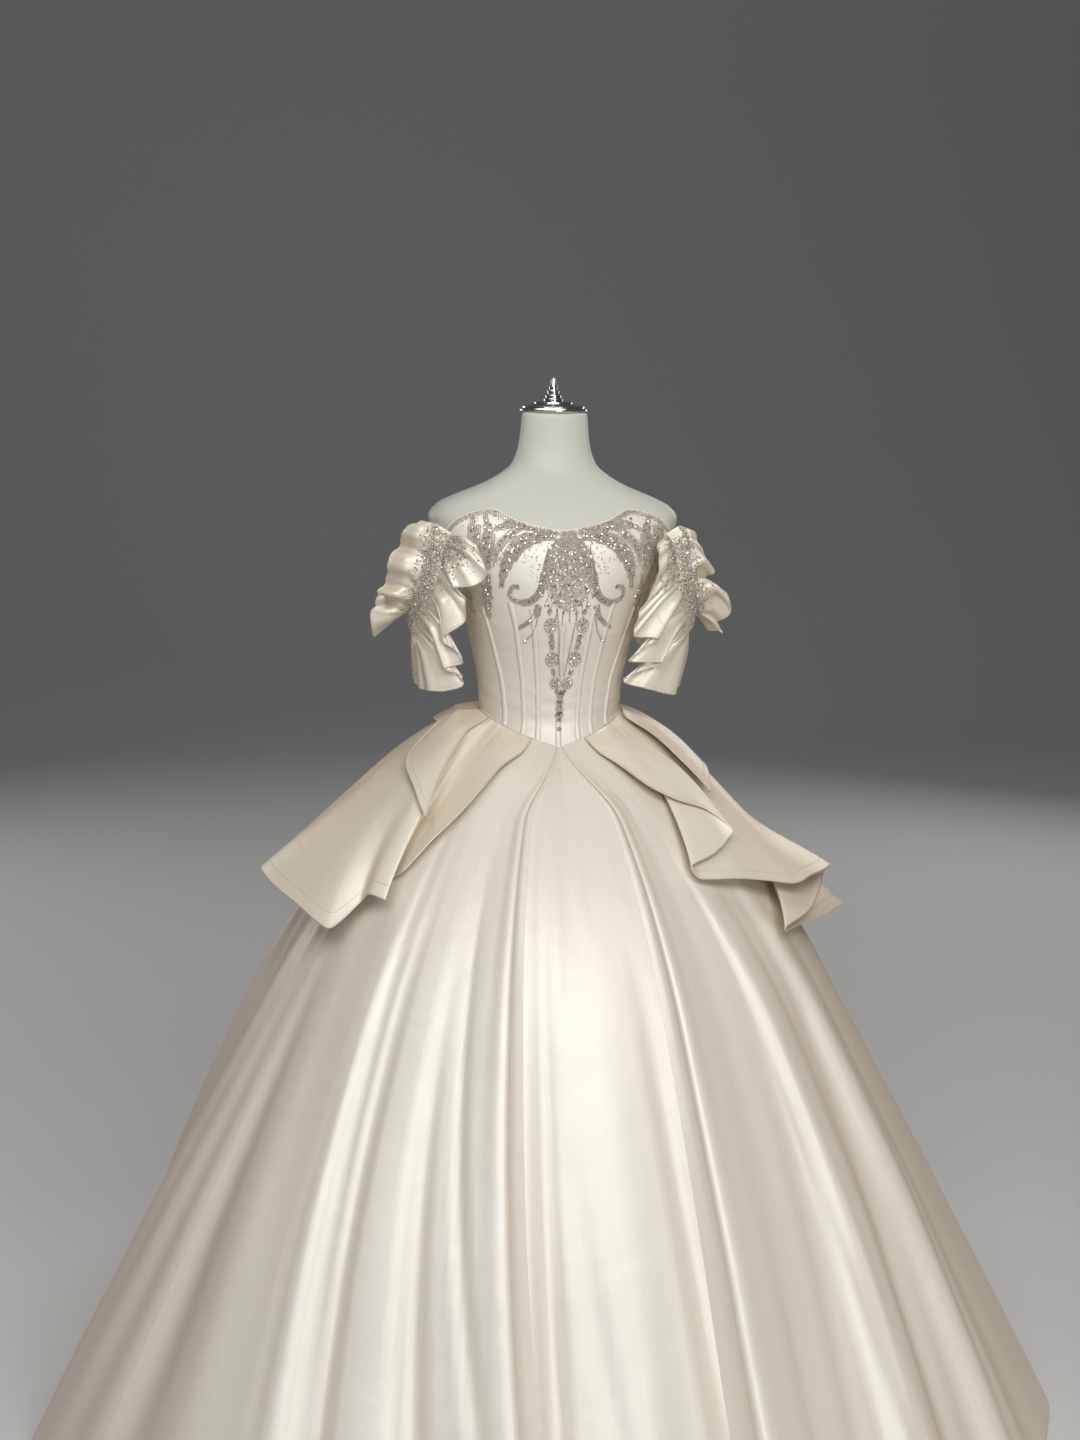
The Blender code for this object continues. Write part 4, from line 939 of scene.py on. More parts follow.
class GOWN_OT_form(bpy.types.Operator):
    """Builds the smooth torso, the polished cap and finial, and finishes the stand"""
    bl_idname = "gown.form"
    bl_label = "Dress form"

    def execute(self, context):
        look = context.scene.gown_form
        shell = plain_material("form_shell", colour_of(look.shell), 0.48)
        metal = plain_material("polished_cap", colour_of(look.metal), 0.13, 1.0)
        enamel = plain_material("stand_enamel", colour_of(look.enamel), 0.35)
        heights = np.concatenate([[0.7800, 0.7812], np.linspace(0.784, 1.514, 170),
                                  [1.5168, 1.5180]])
        inset = np.full(len(heights), -FORM_EASE)
        inset[[0, -1]] = -RIM_INSET
        inset[[1, -2]] = -RIM_HALF_INSET
        made = lathe("gown_form_torso", [(1.0, h) for h in heights], TORSO_COLUMNS, shell,
                     ("form_torso",), (0.0, 0.0))
        places = np.empty(len(made.data.vertices) * 3)
        made.data.vertices.foreach_get("co", places)
        places = places.reshape(-1, 3)
        turn = np.degrees(np.arctan2(places[:, 0], -places[:, 1]))
        shell_points = form_point(turn, places[:, 2], np.interp(places[:, 2], heights, inset))
        middle = np.hypot(places[:, 0], places[:, 1]) < 0.5
        shell_points[middle, :2] = TORSO_MIDDLE
        made.data.vertices.foreach_set("co", shell_points.ravel())
        made.data.update()
        for name, profile, squash, replaced in (
                ("gown_neck_cap", CAP_PROFILE, CAP_SQUASH, "form_neck_cap"),
                ("gown_finial", FINIAL_PROFILE, 1.0, "form_finial")):
            lathe(name, profile, 96, metal, (replaced,), CAP_CENTRE, squash,
                  CAP_EDGE)
        for name in ("stand_pole", "stand_base"):
            for material_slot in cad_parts[name].material_slots:
                material_slot.material = enamel
        return {"FINISHED"}


# The bodice

PANEL_TRIM = 0.00005       # a panel's sides stop this far short of its seams
CASING_START = 0.004       # bone casings start at this share of the rise to the neckline
FRONT_CASING_END = 0.60
BACK_CASING_END = 0.985
CASING_LIFT = 0.0001       # the casings' edges over the panels
CASING_SINK = 0.0004       # their backs under the panels' faces
STITCHES_FROM_CASING = 0.0009
METRES_PER_DEGREE = 0.0024  # round the body
# Where the cloth drags: middle height, spread, strength
DRAG_LEVELS = ((1.075, 0.045, 1.0), (1.185, 0.04, 0.6))


def neck_height(angle):
    return through(column(NECKLINE, 0), column(NECKLINE, 1), np.abs(angle))


def between_seams(left, right, share, rises):
    """Angles and heights of the line at a share of the way from one seam to the next, at shares
    of the rise from the waist seam to the neckline. A few rounds settle both."""
    height = np.full(len(rises), 1.2)
    for _ in range(12):
        start = seam_angle(left, height)
        angle = start + (seam_angle(right, height) - start) * share
        low = waist_height(angle)
        height = low + (neck_height(angle) - low) * rises
    return angle, height


def panel_grid(left, right, side, columns, rows):
    """Angles and heights over a bodice panel, from the waist seam up to the neckline."""
    lines = [between_seams(left, right, share, np.linspace(0.0, 1.0, rows))
             for share in np.linspace(0.0, 1.0, columns)]
    angles, heights = (np.stack(values, axis=1) for values in zip(*lines))
    return angles * side, heights


def drag_lines(angle, height, depth):
    """Shallow slanting drags in the cloth near the waist and under the bust."""
    slant = np.sin(height * 210 + angle * 0.11) + 0.6 * np.sin(height * 330 - angle * 0.17 + 1.0)
    return depth * slant * sum(share * np.exp(-((height - middle) / spread) ** 2)
                               for middle, spread, share in DRAG_LEVELS)


def bodice_surface(angle, height, off=0.0):
    return form_point(angle, height, CLOTH_GAP + BODICE_WALL + off)


def casing_grid(seam, side, top, width, rise):
    """The outer and inner grids of a half round bone casing along a seam of the bodice."""
    angle, height = between_seams(seam, seam, 0.0, np.linspace(CASING_START, top, 56))
    per_degree = np.linalg.norm(bodice_surface(angle * side + 0.5, height)
                                - bodice_surface(angle * side - 0.5, height), axis=-1)
    outer, inner = [], []
    for share in np.linspace(-1.0, 1.0, 9):
        turned = angle * side + share * width / 2 / per_degree
        arch = rise * (1 - abs(share) ** 2.4) ** 0.8
        outer.append(bodice_surface(turned, height, arch + CASING_LIFT))
        inner.append(bodice_surface(turned, height, -CASING_SINK))
    return np.stack(outer, axis=1), np.stack(inner, axis=1)


def casing_stitches(seam, side, top, degrees):
    """A line of stitches beside a bone casing, a few degrees from its seam."""
    angle, height = between_seams(seam, seam, 0.0, np.linspace(CASING_START, top, 60))
    return bodice_surface(angle * side + degrees, height, 0.0001)


class GOWN_OT_bodice(bpy.types.Operator):
    """Builds the bodice panels, the bone casings and the finished neckline edge"""
    bl_idname = "gown.bodice"
    bl_label = "Bodice"

    def execute(self, context):
        look, shape = context.scene.gown_cloth, context.scene.gown_bodice
        ivory = satin("bodice_satin_cloth", look.satin, look, 16.0, 0.5, 0.25)
        thread = thread_of(look)
        back = 180.0 - ZIP_HALF_ANGLE
        centre_back = ("zip", back, back, back, back)
        beyond_back = ("zip",) + (180.0 + ZIP_HALF_ANGLE,) * 4
        first = BODICE_SEAMS[0]
        mirrored = (first[0],) + tuple(-a for a in first[1:])
        panels = [("centre_front", mirrored, first, 1), ("zip_strip", centre_back, beyond_back, 1)]
        for side, word in ((-1, "left"), (1, "right")):
            for a, b in zip(BODICE_SEAMS, BODICE_SEAMS[1:] + [centre_back]):
                panels.append(("%s_%s" % (a[0], word), a, b, side))
        sheets = []
        for name, left, right, side in panels:
            columns = max(6, round(abs(right[3] - left[3]) / 0.9)) + 1
            angle, height = panel_grid(left, right, side, columns, 84)
            outer = bodice_surface(angle, height, drag_lines(angle, height, shape.drag))
            inner = form_point(angle, height, CLOTH_GAP)
            trimmed(outer, PANEL_TRIM)
            trimmed(inner, PANEL_TRIM)
            made = walled("gown_bodice_" + name, outer, inner, ivory,
                          ("bodice_" + name,))
            sheets.append((made, outer))
        bones = bmesh.new()
        stitches = []
        lines = [(seam, side) for seam in BODICE_SEAMS for side in (-1, 1)]
        lines += [(("centre", 0.0, 0.0, 0.0, 0.0), 1)]
        beside = (shape.casing_width / 2 + STITCHES_FROM_CASING) / METRES_PER_DEGREE
        for seam, side in lines:
            top = BACK_CASING_END if abs(seam[3]) > 60 else FRONT_CASING_END
            wall_mesh(bones, *casing_grid(seam, side, top, shape.casing_width,
                                          shape.casing_rise))
            stitches += [casing_stitches(seam, side, top, way * beside) for way in (-1, 1)]
        settled("gown_bone_casings", bones, ivory)
        cords("gown_casing_stitching", stitches, THREAD_RADIUS, thread, 0)
        around = np.linspace(-180 + ZIP_HALF_ANGLE, 180 - ZIP_HALF_ANGLE, 400)
        edge = form_point(around, neck_height(around) + 0.0002, CLOTH_GAP + BODICE_WALL / 2)
        cords("gown_neck_edge", [edge], NECK_EDGE_RADIUS, ivory, 3)
        waist = bodice_surface(around, waist_height(around) + 0.0006, 0.0004)
        cords("gown_waist_edge", [waist], WAIST_EDGE_RADIUS, ivory, 3)
        for made, outer in sheets:
            sheet_of(made)
        return {"FINISHED"}


# The zip

COIL_WIDTH = 0.0022
COIL_THICKNESS = 0.0011
COIL_SPREAD = 0.00055      # each tooth lies this far to the left or right of the middle
# The slider's body, bridge and pull: width, thickness, length, how far out, how far up
SLIDER_BLOCKS = ((0.0064, 0.0026, 0.0082, 0.0, 0.0), (0.0024, 0.0022, 0.0050, 0.0018, 0.0008),
                 (0.0036, 0.0011, 0.0190, 0.0026, -0.0100))
SLIDER_EDGE = 0.0004
ZIP_STITCH_ROWS = (0.9, 3.2)  # degrees outside the strip's seams


class GOWN_OT_zip(bpy.types.Operator):
    """Builds the zip at the centre back: its coil, its slider and the stitching beside it"""
    bl_idname = "gown.zip"
    bl_label = "Zip"

    def execute(self, context):
        look, closing = context.scene.gown_cloth, context.scene.gown_zip
        coil = plain_material("zip_coil", colour_of(closing.coil), 0.45)
        metal = plain_material("zip_metal", colour_of(closing.metal), 0.22, 1.0)
        thread = thread_of(look)
        low, high = WAIST_HEIGHT + 0.004, float(neck_height(180.0)) - 0.010
        teeth = bmesh.new()
        for k, height in enumerate(np.arange(low, high, closing.pitch)):
            place = bodice_surface(180.0, height, 0.0005)
            slope = bodice_surface(180.0, height + 0.001, 0.0005) - place
            turn = Matrix.Rotation(math.atan2(-slope[1], slope[2]), 4, "X")
            aside = COIL_SPREAD * (1 if k % 2 else -1)
            size = Matrix.Diagonal((COIL_WIDTH, COIL_THICKNESS, closing.pitch * 0.8, 1.0))
            bmesh.ops.create_cube(teeth, size=1.0, matrix=Matrix.Translation(
                (place[0] + aside, place[1], place[2])) @ turn @ size)
        settled("gown_zip_coil", teeth, coil, smooth=False)
        place = bodice_surface(180.0, high + 0.001, 0.0014)
        slider = bmesh.new()
        for across, thick, tall, out, up in SLIDER_BLOCKS:
            block = bmesh.ops.create_cube(slider, size=1.0)["verts"]
            bmesh.ops.scale(slider, vec=(across, thick, tall), verts=block)
            bmesh.ops.translate(slider, vec=(place[0], place[1] + out, place[2] + up),
                                verts=block)
            rounded(slider, list({e for v in block for e in v.link_edges}), SLIDER_EDGE)
        settled("gown_zip_slider", slider, metal, smooth=False)
        heights = np.linspace(WAIST_HEIGHT + 0.002, high + 0.006, 60)
        lines = [bodice_surface(180.0 + side * (ZIP_HALF_ANGLE + away), heights, 0.0001)
                 for side in (-1, 1) for away in ZIP_STITCH_ROWS]
        cords("gown_zip_stitching", lines, THREAD_RADIUS, thread, 0)
        return {"FINISHED"}


# The skirt

COLUMN_STEP = 0.8          # degrees of hem from one column of the fine cloth to the next
GORE_TRIM = 0.00008        # a gore's sides stop this far short of its seams
# A rolled edge rises over TUCK_EDGE degrees, is at its full height past one TUCK_START'th of its
# run, and keeps it over TUCK_TOP of its roll; TUCK_STEPS are columns of cloth added beside it.
TUCK_EDGE = 0.22
TUCK_START = 14
TUCK_TOP = 0.4
TUCK_STEPS = (0.0, 0.05, 0.11, 0.22, 0.45)
# Rolled edges of the pleats, which lie over the cloth beside them: hem angle, side that lies
# over (-1 left, 1 right), first and last share of the drop, height, roll and tail in degrees
SKIRT_TUCKS = [
    (-8.5, -1, 0.0, 1.6, 7.0, 1.5, 2.4),
    (13.6, 1, 0.0, 1.6, 7.0, 1.5, 2.4),
]
# Small folds and valleys: hem angles at the top and the bottom end, first and last share of
# the drop, height in millimetres (below zero for a valley), half width in degrees
SKIRT_CREASES = [
    (-6.0, -6.6, 0.06, 0.30, 2.2, 1.3),
    (-2.0, -3.2, 0.08, 0.42, 2.0, 1.6),
    (2.0, 1.0, 0.09, 0.26, 1.6, 1.4),
    (-31.3, -30.8, 0.02, 1.5, -13.0, 1.1),
    (-28.4, -29.7, 0.08, 1.5, -11.0, 1.0),
    (-22.5, -17.5, 0.22, 1.5, -13.0, 2.4),
    (-19.0, -8.5, 0.12, 1.3, -6.5, 1.5),
    (-4.4, -6.0, 0.12, 1.5, -15.0, 1.7),
    (-3.6, 4.5, 0.40, 1.3, -6.0, 1.6),
    (1.6, 1.6, 0.50, 1.5, -4.0, 2.4),
    (8.8, 14.6, 0.20, 1.5, -14.0, 2.6),
    (29.2, 33.9, 0.12, 1.5, -10.0, 0.9),
    (28.0, 24.0, 0.36, 1.4, -6.0, 2.2),
    (43.5, 31.5, 0.16, 1.5, -9.0, 3.2),
    (48.5, 44.0, 0.36, 1.5, -7.0, 1.6),
    (-27.3, -26.5, 0.20, 1.4, 5.0, 2.8),
    (36.0, 35.0, 0.10, 1.5, 6.0, 2.4),
    (20.5, 21.0, 0.50, 1.3, -3.0, 1.4),
    (-34.0, -36.0, 0.30, 1.2, -3.5, 1.0),
    (-52.0, -52.0, 0.16, 1.4, -16.0, 5.0),
    (-43.0, -42.0, 0.22, 1.5, 19.0, 7.5),
    (-62.0, -64.0, 0.08, 1.4, 9.0, 4.0),
    (75.0, 74.0, 0.30, 1.3, -6.0, 3.0),
    (104.0, 103.0, 0.25, 1.4, -7.0, 2.6),
    (126.0, 124.0, 0.20, 1.4, -6.0, 2.2),
    (148.0, 147.0, 0.30, 1.4, -7.0, 2.8),
    (171.0, 169.0, 0.20, 1.4, -7.0, 2.4),
    (-166.0, -168.0, 0.25, 1.4, -6.0, 2.2),
    (-147.0, -148.0, 0.20, 1.4, -8.0, 2.8),
    (-127.0, -129.0, 0.30, 1.4, -6.0, 2.2),
    (-106.0, -108.0, 0.25, 1.4, -6.0, 2.6),
    (-84.0, -86.0, 0.35, 1.3, -5.0, 2.4),
]


def creased_skirt(hem_angle, drop):
    """The folded skirt with its small creases."""
    point = skirt(hem_angle, drop)
    hem_angle, drop = surface_places(hem_angle, drop)
    rise = np.zeros(drop.shape)
    for line, side, start, end, height, roll, tail in SKIRT_TUCKS:
        over = (hem_angle - line) * side
        share = np.clip((drop - start) / (end - start), 0.0, 1.0)
        step = np.clip(over / TUCK_EDGE, 0.0, 1.0)
        round_top = np.sqrt(np.clip(1.0 - (1.0 - step) ** 2, 0.0, 1.0))
        fall = np.clip((over - roll * TUCK_TOP) / (roll * (1 - TUCK_TOP) + tail), 0.0, 1.0)
        rise = rise + (height / 1000 * np.minimum(share * TUCK_START, 1.0) * round_top
                       * np.cos(fall * math.pi / 2) ** 2)
    for top_angle, low_angle, start, end, height, half_width in SKIRT_CREASES:
        share = np.clip((drop - start) / (end - start), 0.0, 1.0)
        middle = top_angle + (low_angle - top_angle) * share
        reach = np.clip(np.abs(hem_angle - middle) / half_width, 0.0, 1.0)
        rise = rise + (height / 1000 * np.sin(share * math.pi) ** 1.5
                       * np.cos(reach * math.pi / 2) ** 2)
    point[..., :2] += unit(point[..., :2]) * rise[..., None]
    return point


class GOWN_OT_skirt(bpy.types.Operator):
    """Builds the gored skirt with its folds, seams and hem"""
    bl_idname = "gown.skirt"
    bl_label = "Skirt"

    def execute(self, context):
        look = context.scene.gown_cloth
        ivory = satin("skirt_satin", look.satin, look, 7.0, 0.25, 1.0)
        drops = np.linspace(0.0, 1.0, 101) ** 1.15
        for name, start, end in GORES:
            hem_angles = set(np.linspace(start, end, round((end - start) / COLUMN_STEP) + 1))
            edges = [tuck[0] + tuck[1] * away for tuck in SKIRT_TUCKS for away in TUCK_STEPS]
            hem_angles.update(angle for angle in edges if start < angle < end)
            outer, inner = faces_of(creased_skirt, sorted(hem_angles), drops, SKIRT_WALL,
                                    trim=GORE_TRIM, beyond=COLUMN_STEP)
            made = walled("gown_" + name, outer, inner, ivory, (name,))
            sheet_of(made)
        return {"FINISHED"}


# The peplums

PEPLUM_STITCH_RADIUS = 0.00045


def frilled(name, surface, us, vs, cloth, thread, roll, stitches):
    """A frill with a rolled edge; stitches is the row that they follow and their radius."""
    outer, inner = faces_of(surface, us, vs, FRILL_WALL, middle=True)
    made = walled("gown_" + name, outer, inner, cloth, (name,))
    middle = (outer + inner) / 2
    rim = np.concatenate([middle[:, 0], middle[-1, 1:-1], middle[::-1, -1]])
    hem = cords("gown_%s_hem" % name, [rim], roll, cloth)
    row, radius = stitches
    cords("gown_%s_stitching" % name, [outer[row]], radius, thread, 0)
    sheet_of(made)


class GOWN_OT_peplums(bpy.types.Operator):
    """Builds the draped peplums and their short upper tiers, with rolled edges"""
    bl_idname = "gown.peplums"
    bl_label = "Peplums"

    def execute(self, context):
        look = context.scene.gown_cloth
        dull = satin("peplum_satin_cloth", look.frill_satin, look, 11.0, 0.5, 0.9)
        thread = thread_of(look)
        for word, table, tier in (("left", PEPLUM_LEFT, TIER_LEFT),
                                  ("right", PEPLUM_RIGHT, TIER_RIGHT)):
            for name, rows, depth in (("peplum_" + word, table, 44),
                                      ("peplum_tier_" + word, tier, 24)):
                across = np.linspace(0, len(rows) - 1, (len(rows) - 1) * 10 + 1)
                frilled(name, peplum(rows), across, np.linspace(0.0, 1.0, depth), dull,
                        thread, look.hem_roll, (-3, PEPLUM_STITCH_RADIUS))
        return {"FINISHED"}


# The sleeves

SLEEVE_STITCH_RADIUS = 0.0003


def gathered_frill(table, side, edge):
    """A sleeve frill with the small gathers that run from its band towards its hem."""
    plain = frill(table, side, edge)

    def surface(u, v):
        u, v = surface_places(u, v)
        wave = (np.sin(u * 7.3 + 1.4 * np.sin(u * 1.9)) + 0.7 * np.sin(u * 12.1 + 2.0)
                * np.exp(-2.5 * np.clip(v, 0.0, 1.0)))
        swell = np.sin(np.clip(v, 0.0, 1.0) * math.pi * 0.62) ** 1.2
        rise = GATHER_RISE * wave * swell
        return plain(u, v) + normal_of(plain, u, v, 0.02) * rise[..., None]
    return surface


class GOWN_OT_sleeves(bpy.types.Operator):
    """Builds the off-the-shoulder sleeves: a band with an outer and an inner frill"""
    bl_idname = "gown.sleeves"
    bl_label = "Sleeves"

    def execute(self, context):
        look = context.scene.gown_cloth
        silk = satin("sleeve_satin_cloth", look.frill_satin, look, 20.0, 0.5, 0.9, 1.25)
        thread = thread_of(look)
        for side, word, outer_table, inner_table in ((-1, "left", OUTER_LEFT, INNER_LEFT),
                                                     (1, "right", OUTER_RIGHT, INNER_RIGHT)):
            outer, inner = faces_of(band(side), np.linspace(0, 1, 160), np.linspace(-1, 1, 9),
                                    FRILL_WALL, middle=True)
            strap = walled("gown_sleeve_band_" + word, outer, inner, silk,
                           ("sleeve_band_" + word,))
            sheet_of(strap)
            for part, rows, edge in (("outer", outer_table, 1), ("inner", inner_table, -1)):
                across = np.linspace(0, len(rows) - 1, (len(rows) - 1) * 12 + 1)
                frilled("sleeve_%s_%s" % (part, word), gathered_frill(rows, side, edge), across,
                        np.linspace(0.0, 1.0, 30), silk, thread,
                        look.hem_roll * 0.8, (-2, SLEEVE_STITCH_RADIUS))
        return {"FINISHED"}


# The beadwork

# Bands of beads on each side of the front, rising from the ornament's centre line: beads'
# size and rows' spacing in millimetres, half widths at the start, the middle and the end, and
# the line they follow as (distance from the centre line, height)
SCROLL = (2.6, 2.35, (4.0, 4.8, 3.4), [(30, 1316), (37, 1290), (41, 1262), (50, 1243), (65, 1235),
                                       (80, 1238), (88, 1248), (84, 1259), (75, 1259)])
LEAVES = [
    (2.8, 2.7, (5, 12, 2.4), [(20, 1335), (46, 1333), (72, 1325), (90, 1303), (99, 1278),
                              (101, 1256)]),
    (2.6, 2.7, (4, 9, 2), [(14, 1339), (44, 1347), (76, 1353), (102, 1349), (117, 1340)]),
    (2.6, 2.6, (4, 9, 2.4), [(20, 1344), (50, 1360), (84, 1370), (114, 1373)]),
    (2.6, 2.8, (3, 7, 2), [(66, 1350), (92, 1334), (109, 1314), (114, 1290)]),
    (2.8, 2.9, (3, 10, 2.4), [(127, 1364), (122, 1336), (125, 1308), (119, 1282)]),
    (2.6, 2.9, (4, 9, 2), [(146, 1362), (146, 1326), (152, 1292), (150, 1262)]),
    (2.6, 2.9, (3, 6, 1.6), [(137, 1350), (138, 1318), (136, 1286), (127, 1256)]),
    (2.6, 2.8, (3, 7, 1.6), [(120, 1276), (120, 1252), (118, 1228), (112, 1204)]),
    (2.6, 2.9, (3, 6, 1.6), [(150, 1266), (146, 1246), (140, 1226), (131, 1208)]),
    (2.4, 2.4, (2.4, 5.4, 3.0), [(18, 1330), (26, 1306), (31, 1282), (36, 1258)]),
    (2.8, 2.6, (2.8, 2.8, 2.4), [(46, 1232), (51, 1213), (59, 1204), (68, 1197)]),
    (2.6, 2.4, (2.4, 2.0, 1.4), [(43, 1230), (46, 1206), (50, 1189), (59, 1176)]),
    (2.4, 2.3, (1.6, 1.6, 1.6), [(29, 1232), (27, 1216)]),
    (2.4, 2.3, (2.4, 2.4, 2.4), [(22, 1186), (20, 1172), (19, 1162)]),
    (2.4, 2.3, (2.4, 2.4, 2.4), [(15, 1130), (12.5, 1122)]),
    (2.4, 2.3, (5.0, 3.4, 2.4), [(0.6, 1096), (0.6, 1078), (0.6, 1062), (0.6, 1046)]),
    (2.2, 2.4, (0.6, 0.6, 0.6), [(16, 1222), (12, 1196), (9, 1168), (6, 1140), (3, 1116)]),
    (2.4, 2.4, (3.0, 5.0, 2.0), [(4, 1342), (12, 1330), (22, 1318), (31, 1300)]),
]
# Stones with rings of seed beads: distance from the centre line, height, width; they are
# higher than wide
ROSETTES = [(25, 1200, 21.0), (17.5, 1146, 22.0), (9.4, 1107, 18.0)]
ROSETTE_RISE = 1.18
ROSETTE_RINGS = ((0.20, 9, 0.125), (0.31, 8, 0.17), (0.435, 18, 0.13))
# Single stones: the same columns
STONES = [
    (5, 1345, 5.5), (12, 1348, 4.5), (18, 1350, 5.0), (0, 1340, 5.0), (9, 1339, 4.0),
    (70, 1195, 7.0), (61, 1173, 6.4), (27, 1221, 8.4), (25, 1182, 5.0), (21, 1172, 9.0),
    (17, 1165, 4.4), (15, 1128, 5.0), (13, 1122, 8.0), (0, 1091, 10.5), (7, 1093, 5.5),
    (0, 1077, 11.0), (4.6, 1066, 4.4), (0, 1059, 12.0), (0, 1049, 7.4), (5.2, 1055, 4.4),
    (0, 1034, 8.0), (76, 1257, 5.4), (40, 1246, 6.0), (33, 1232, 6.5), (20, 1236, 5.0),
    (58, 1340, 5.6), (84, 1340, 5.2), (98, 1360, 5.2), (128, 1346, 5.2), (112, 1240, 5.0),
    (148, 1340, 5.2), (151, 1300, 5.0), (134, 1214, 7.0), (30, 1352, 4.6), (10, 1300, 5.4),
    (18, 1270, 5.6), (0, 1262, 6.4), (12, 1238, 5.4), (28, 1256, 5.0), (0, 1310, 5.2),
]
LARGE_SHARE = 0.22         # of the beads inside a band
LARGE_SIZE = 1.5
# Diameters of seed beads and of stones
FIELD_BEADS = (0.0024, 0.0034)
BAND_BEADS = (0.0027, 0.0040)
SPILLED_BEADS = (0.0023, 0.0036)
STONES_FROM = 0.003        # beads on the sleeves wider than this are stones
ORNAMENT_TOP = 1.372       # where the field's rays meet
FIELD_HALF_TURN = 17.5     # half the angle between its outermost rays
FIELD_START = 0.026
FIELD_REACH = 0.170
FIELD_RAYS = 29
FIELD_PITCH = 0.0028       # from one bead of a ray to the next
FIELD_GAPS = 0.06          # share of its beads that are left out
NECK_ROWS = (0.0014, 0.0040, 0.0066)  # rows of beads under the neckline
SCATTERED = 1500           # seed beads strewn between the bands, as far out and as high as this
SCATTER_REACH = 0.162
SCATTER_HEIGHTS = (1.200, 1.375)
BEAD_LIFT = 0.0003         # backs of the beads over the cloth
SPILL_LIFT = 0.0002        # and over the frills
SLEEVE_BEAD_COUNT = 1500
# Beads that spill over the frills: edge of the band (1 outer, -1 inner), number, spread as a
# share of the frill's depth, last row of its table, or None for nearly all of them
SPILLS = ((1, 520, 0.17, None), (-1, 170, 0.10, None), (-1, 330, 0.34, 3.2))
SLEEVE_BEADS = [("left", -1, 0.02, 0.80, OUTER_LEFT, INNER_LEFT),
                ("right", 1, 0.05, 0.90, OUTER_RIGHT, INNER_RIGHT)]


def ornament_middle(height):
    """The centre line of the beadwork, which hangs a little out of plumb."""
    return 0.010 * (height - 1.0) / 0.35


def on_bodice(across, height, off):
    """Points and normals at places on the front of the bodice, seen square on."""
    def face(x, z):
        reach = CLOTH_GAP + BODICE_WALL + off
        power = 2.0 / along(FORM_SECTIONS, 4, z)
        width = along(FORM_SECTIONS, 1, z) + reach
        s = np.minimum((np.abs(x) / width) ** (1 / power), 0.9999)
        depth = along(FORM_SECTIONS, 2, z) + reach
        return np.stack([x, -depth * (1 - s * s) ** (power / 2), z], axis=-1)
    across, height = np.asarray(across, float), np.asarray(height, float)
    return face(across, height), normal_of(face, across, height, 0.0004)


def front_neck_height(across, height):
    """The neckline over places on the front of the bodice."""
    width = along(FORM_SECTIONS, 1, height) + CLOTH_GAP + BODICE_WALL
    s = np.minimum((np.abs(across) / width) ** (along(FORM_SECTIONS, 4, height) / 2), 1.0)
    return neck_height(np.degrees(np.arcsin(s)))


def filled_band(line, half_widths, pitch):
    """Places in staggered rows that fill a tapering band about a line, and which rows edge it."""
    line = np.asarray(line, float)
    lengths = np.concatenate([[0.0], np.cumsum(np.linalg.norm(np.diff(line, axis=0), axis=1))])
    ats = np.arange(0.0, lengths[-1], pitch * 0.93)
    places = []
    for row in range(-9, 10):
        at = np.minimum(ats + (pitch / 2 if row % 2 else 0.0), lengths[-1])
        point = np.stack([through(lengths, line[:, k], at) for k in (0, 1)], axis=-1)
        ahead = np.stack([through(lengths, line[:, k], np.minimum(at + 0.5, lengths[-1]))
                          - through(lengths, line[:, k], at - 0.5) for k in (0, 1)], axis=-1)
        ahead = unit(ahead)
        half = through((0.0, lengths[-1] / 2, lengths[-1]), half_widths, at)
        beside = point + row * pitch * np.stack([-ahead[:, 1], ahead[:, 0]], axis=-1)
        kept = np.abs(row * pitch) <= half + 0.2
        edge = np.abs(row * pitch) > half - pitch
        places += [(b[0], b[1], e) for b, e in zip(beside[kept], edge[kept])]
    return places


def bead_shape(kind):
    """The corners and faces of a small bead or a cut stone, one unit across, on its back."""
    bm = bmesh.new()
    if kind == "seed":
        bmesh.ops.create_icosphere(bm, subdivisions=1, radius=0.5)
        bmesh.ops.translate(bm, vec=(0, 0, 0.35), verts=bm.verts)
    else:
        bmesh.ops.create_cone(bm, cap_ends=True, segments=8, radius1=0.5, radius2=0.26,
                              depth=0.30)
        bmesh.ops.translate(bm, vec=(0, 0, 0.15), verts=bm.verts)
    bmesh.ops.triangulate(bm, faces=bm.faces)
    bm.verts.index_update()
    corners = np.array([v.co[:] for v in bm.verts])
    faces = np.array([[v.index for v in f.verts] for f in bm.faces])
    bm.free()
    return corners, faces


def strewn(name, kind, places, normals, sizes, look, chance):
    """One mesh of many beads: the bead's shape at each place, turned to the cloth there."""
    corners, faces = bead_shape(kind)
    count = len(places)
    tilt = 0.22 if kind == "stone" else 0.1
    normals = unit(normals + chance.normal(0.0, tilt, (count, 3)))
    aside = unit(np.cross(normals, (0.0, 0.3, 1.0)))
    up = np.cross(normals, aside)
    turn = chance.uniform(0.0, 2 * math.pi, count)[:, None]
    first = aside * np.cos(turn) + up * np.sin(turn)
    second = np.cross(normals, first)
    points = (places[:, None] + sizes[:, None, None] * (
        corners[None, :, 0:1] * first[:, None] + corners[None, :, 1:2] * second[:, None]
        + corners[None, :, 2:3] * normals[:, None]))
    all_faces = faces[None] + (np.arange(count) * len(corners))[:, None, None]
    mesh = bpy.data.meshes.new(name)
    mesh.from_pydata(points.reshape(-1, 3), [], all_faces.reshape(-1, 3).tolist())
    return piece(name, mesh, look, smooth=kind == "seed")


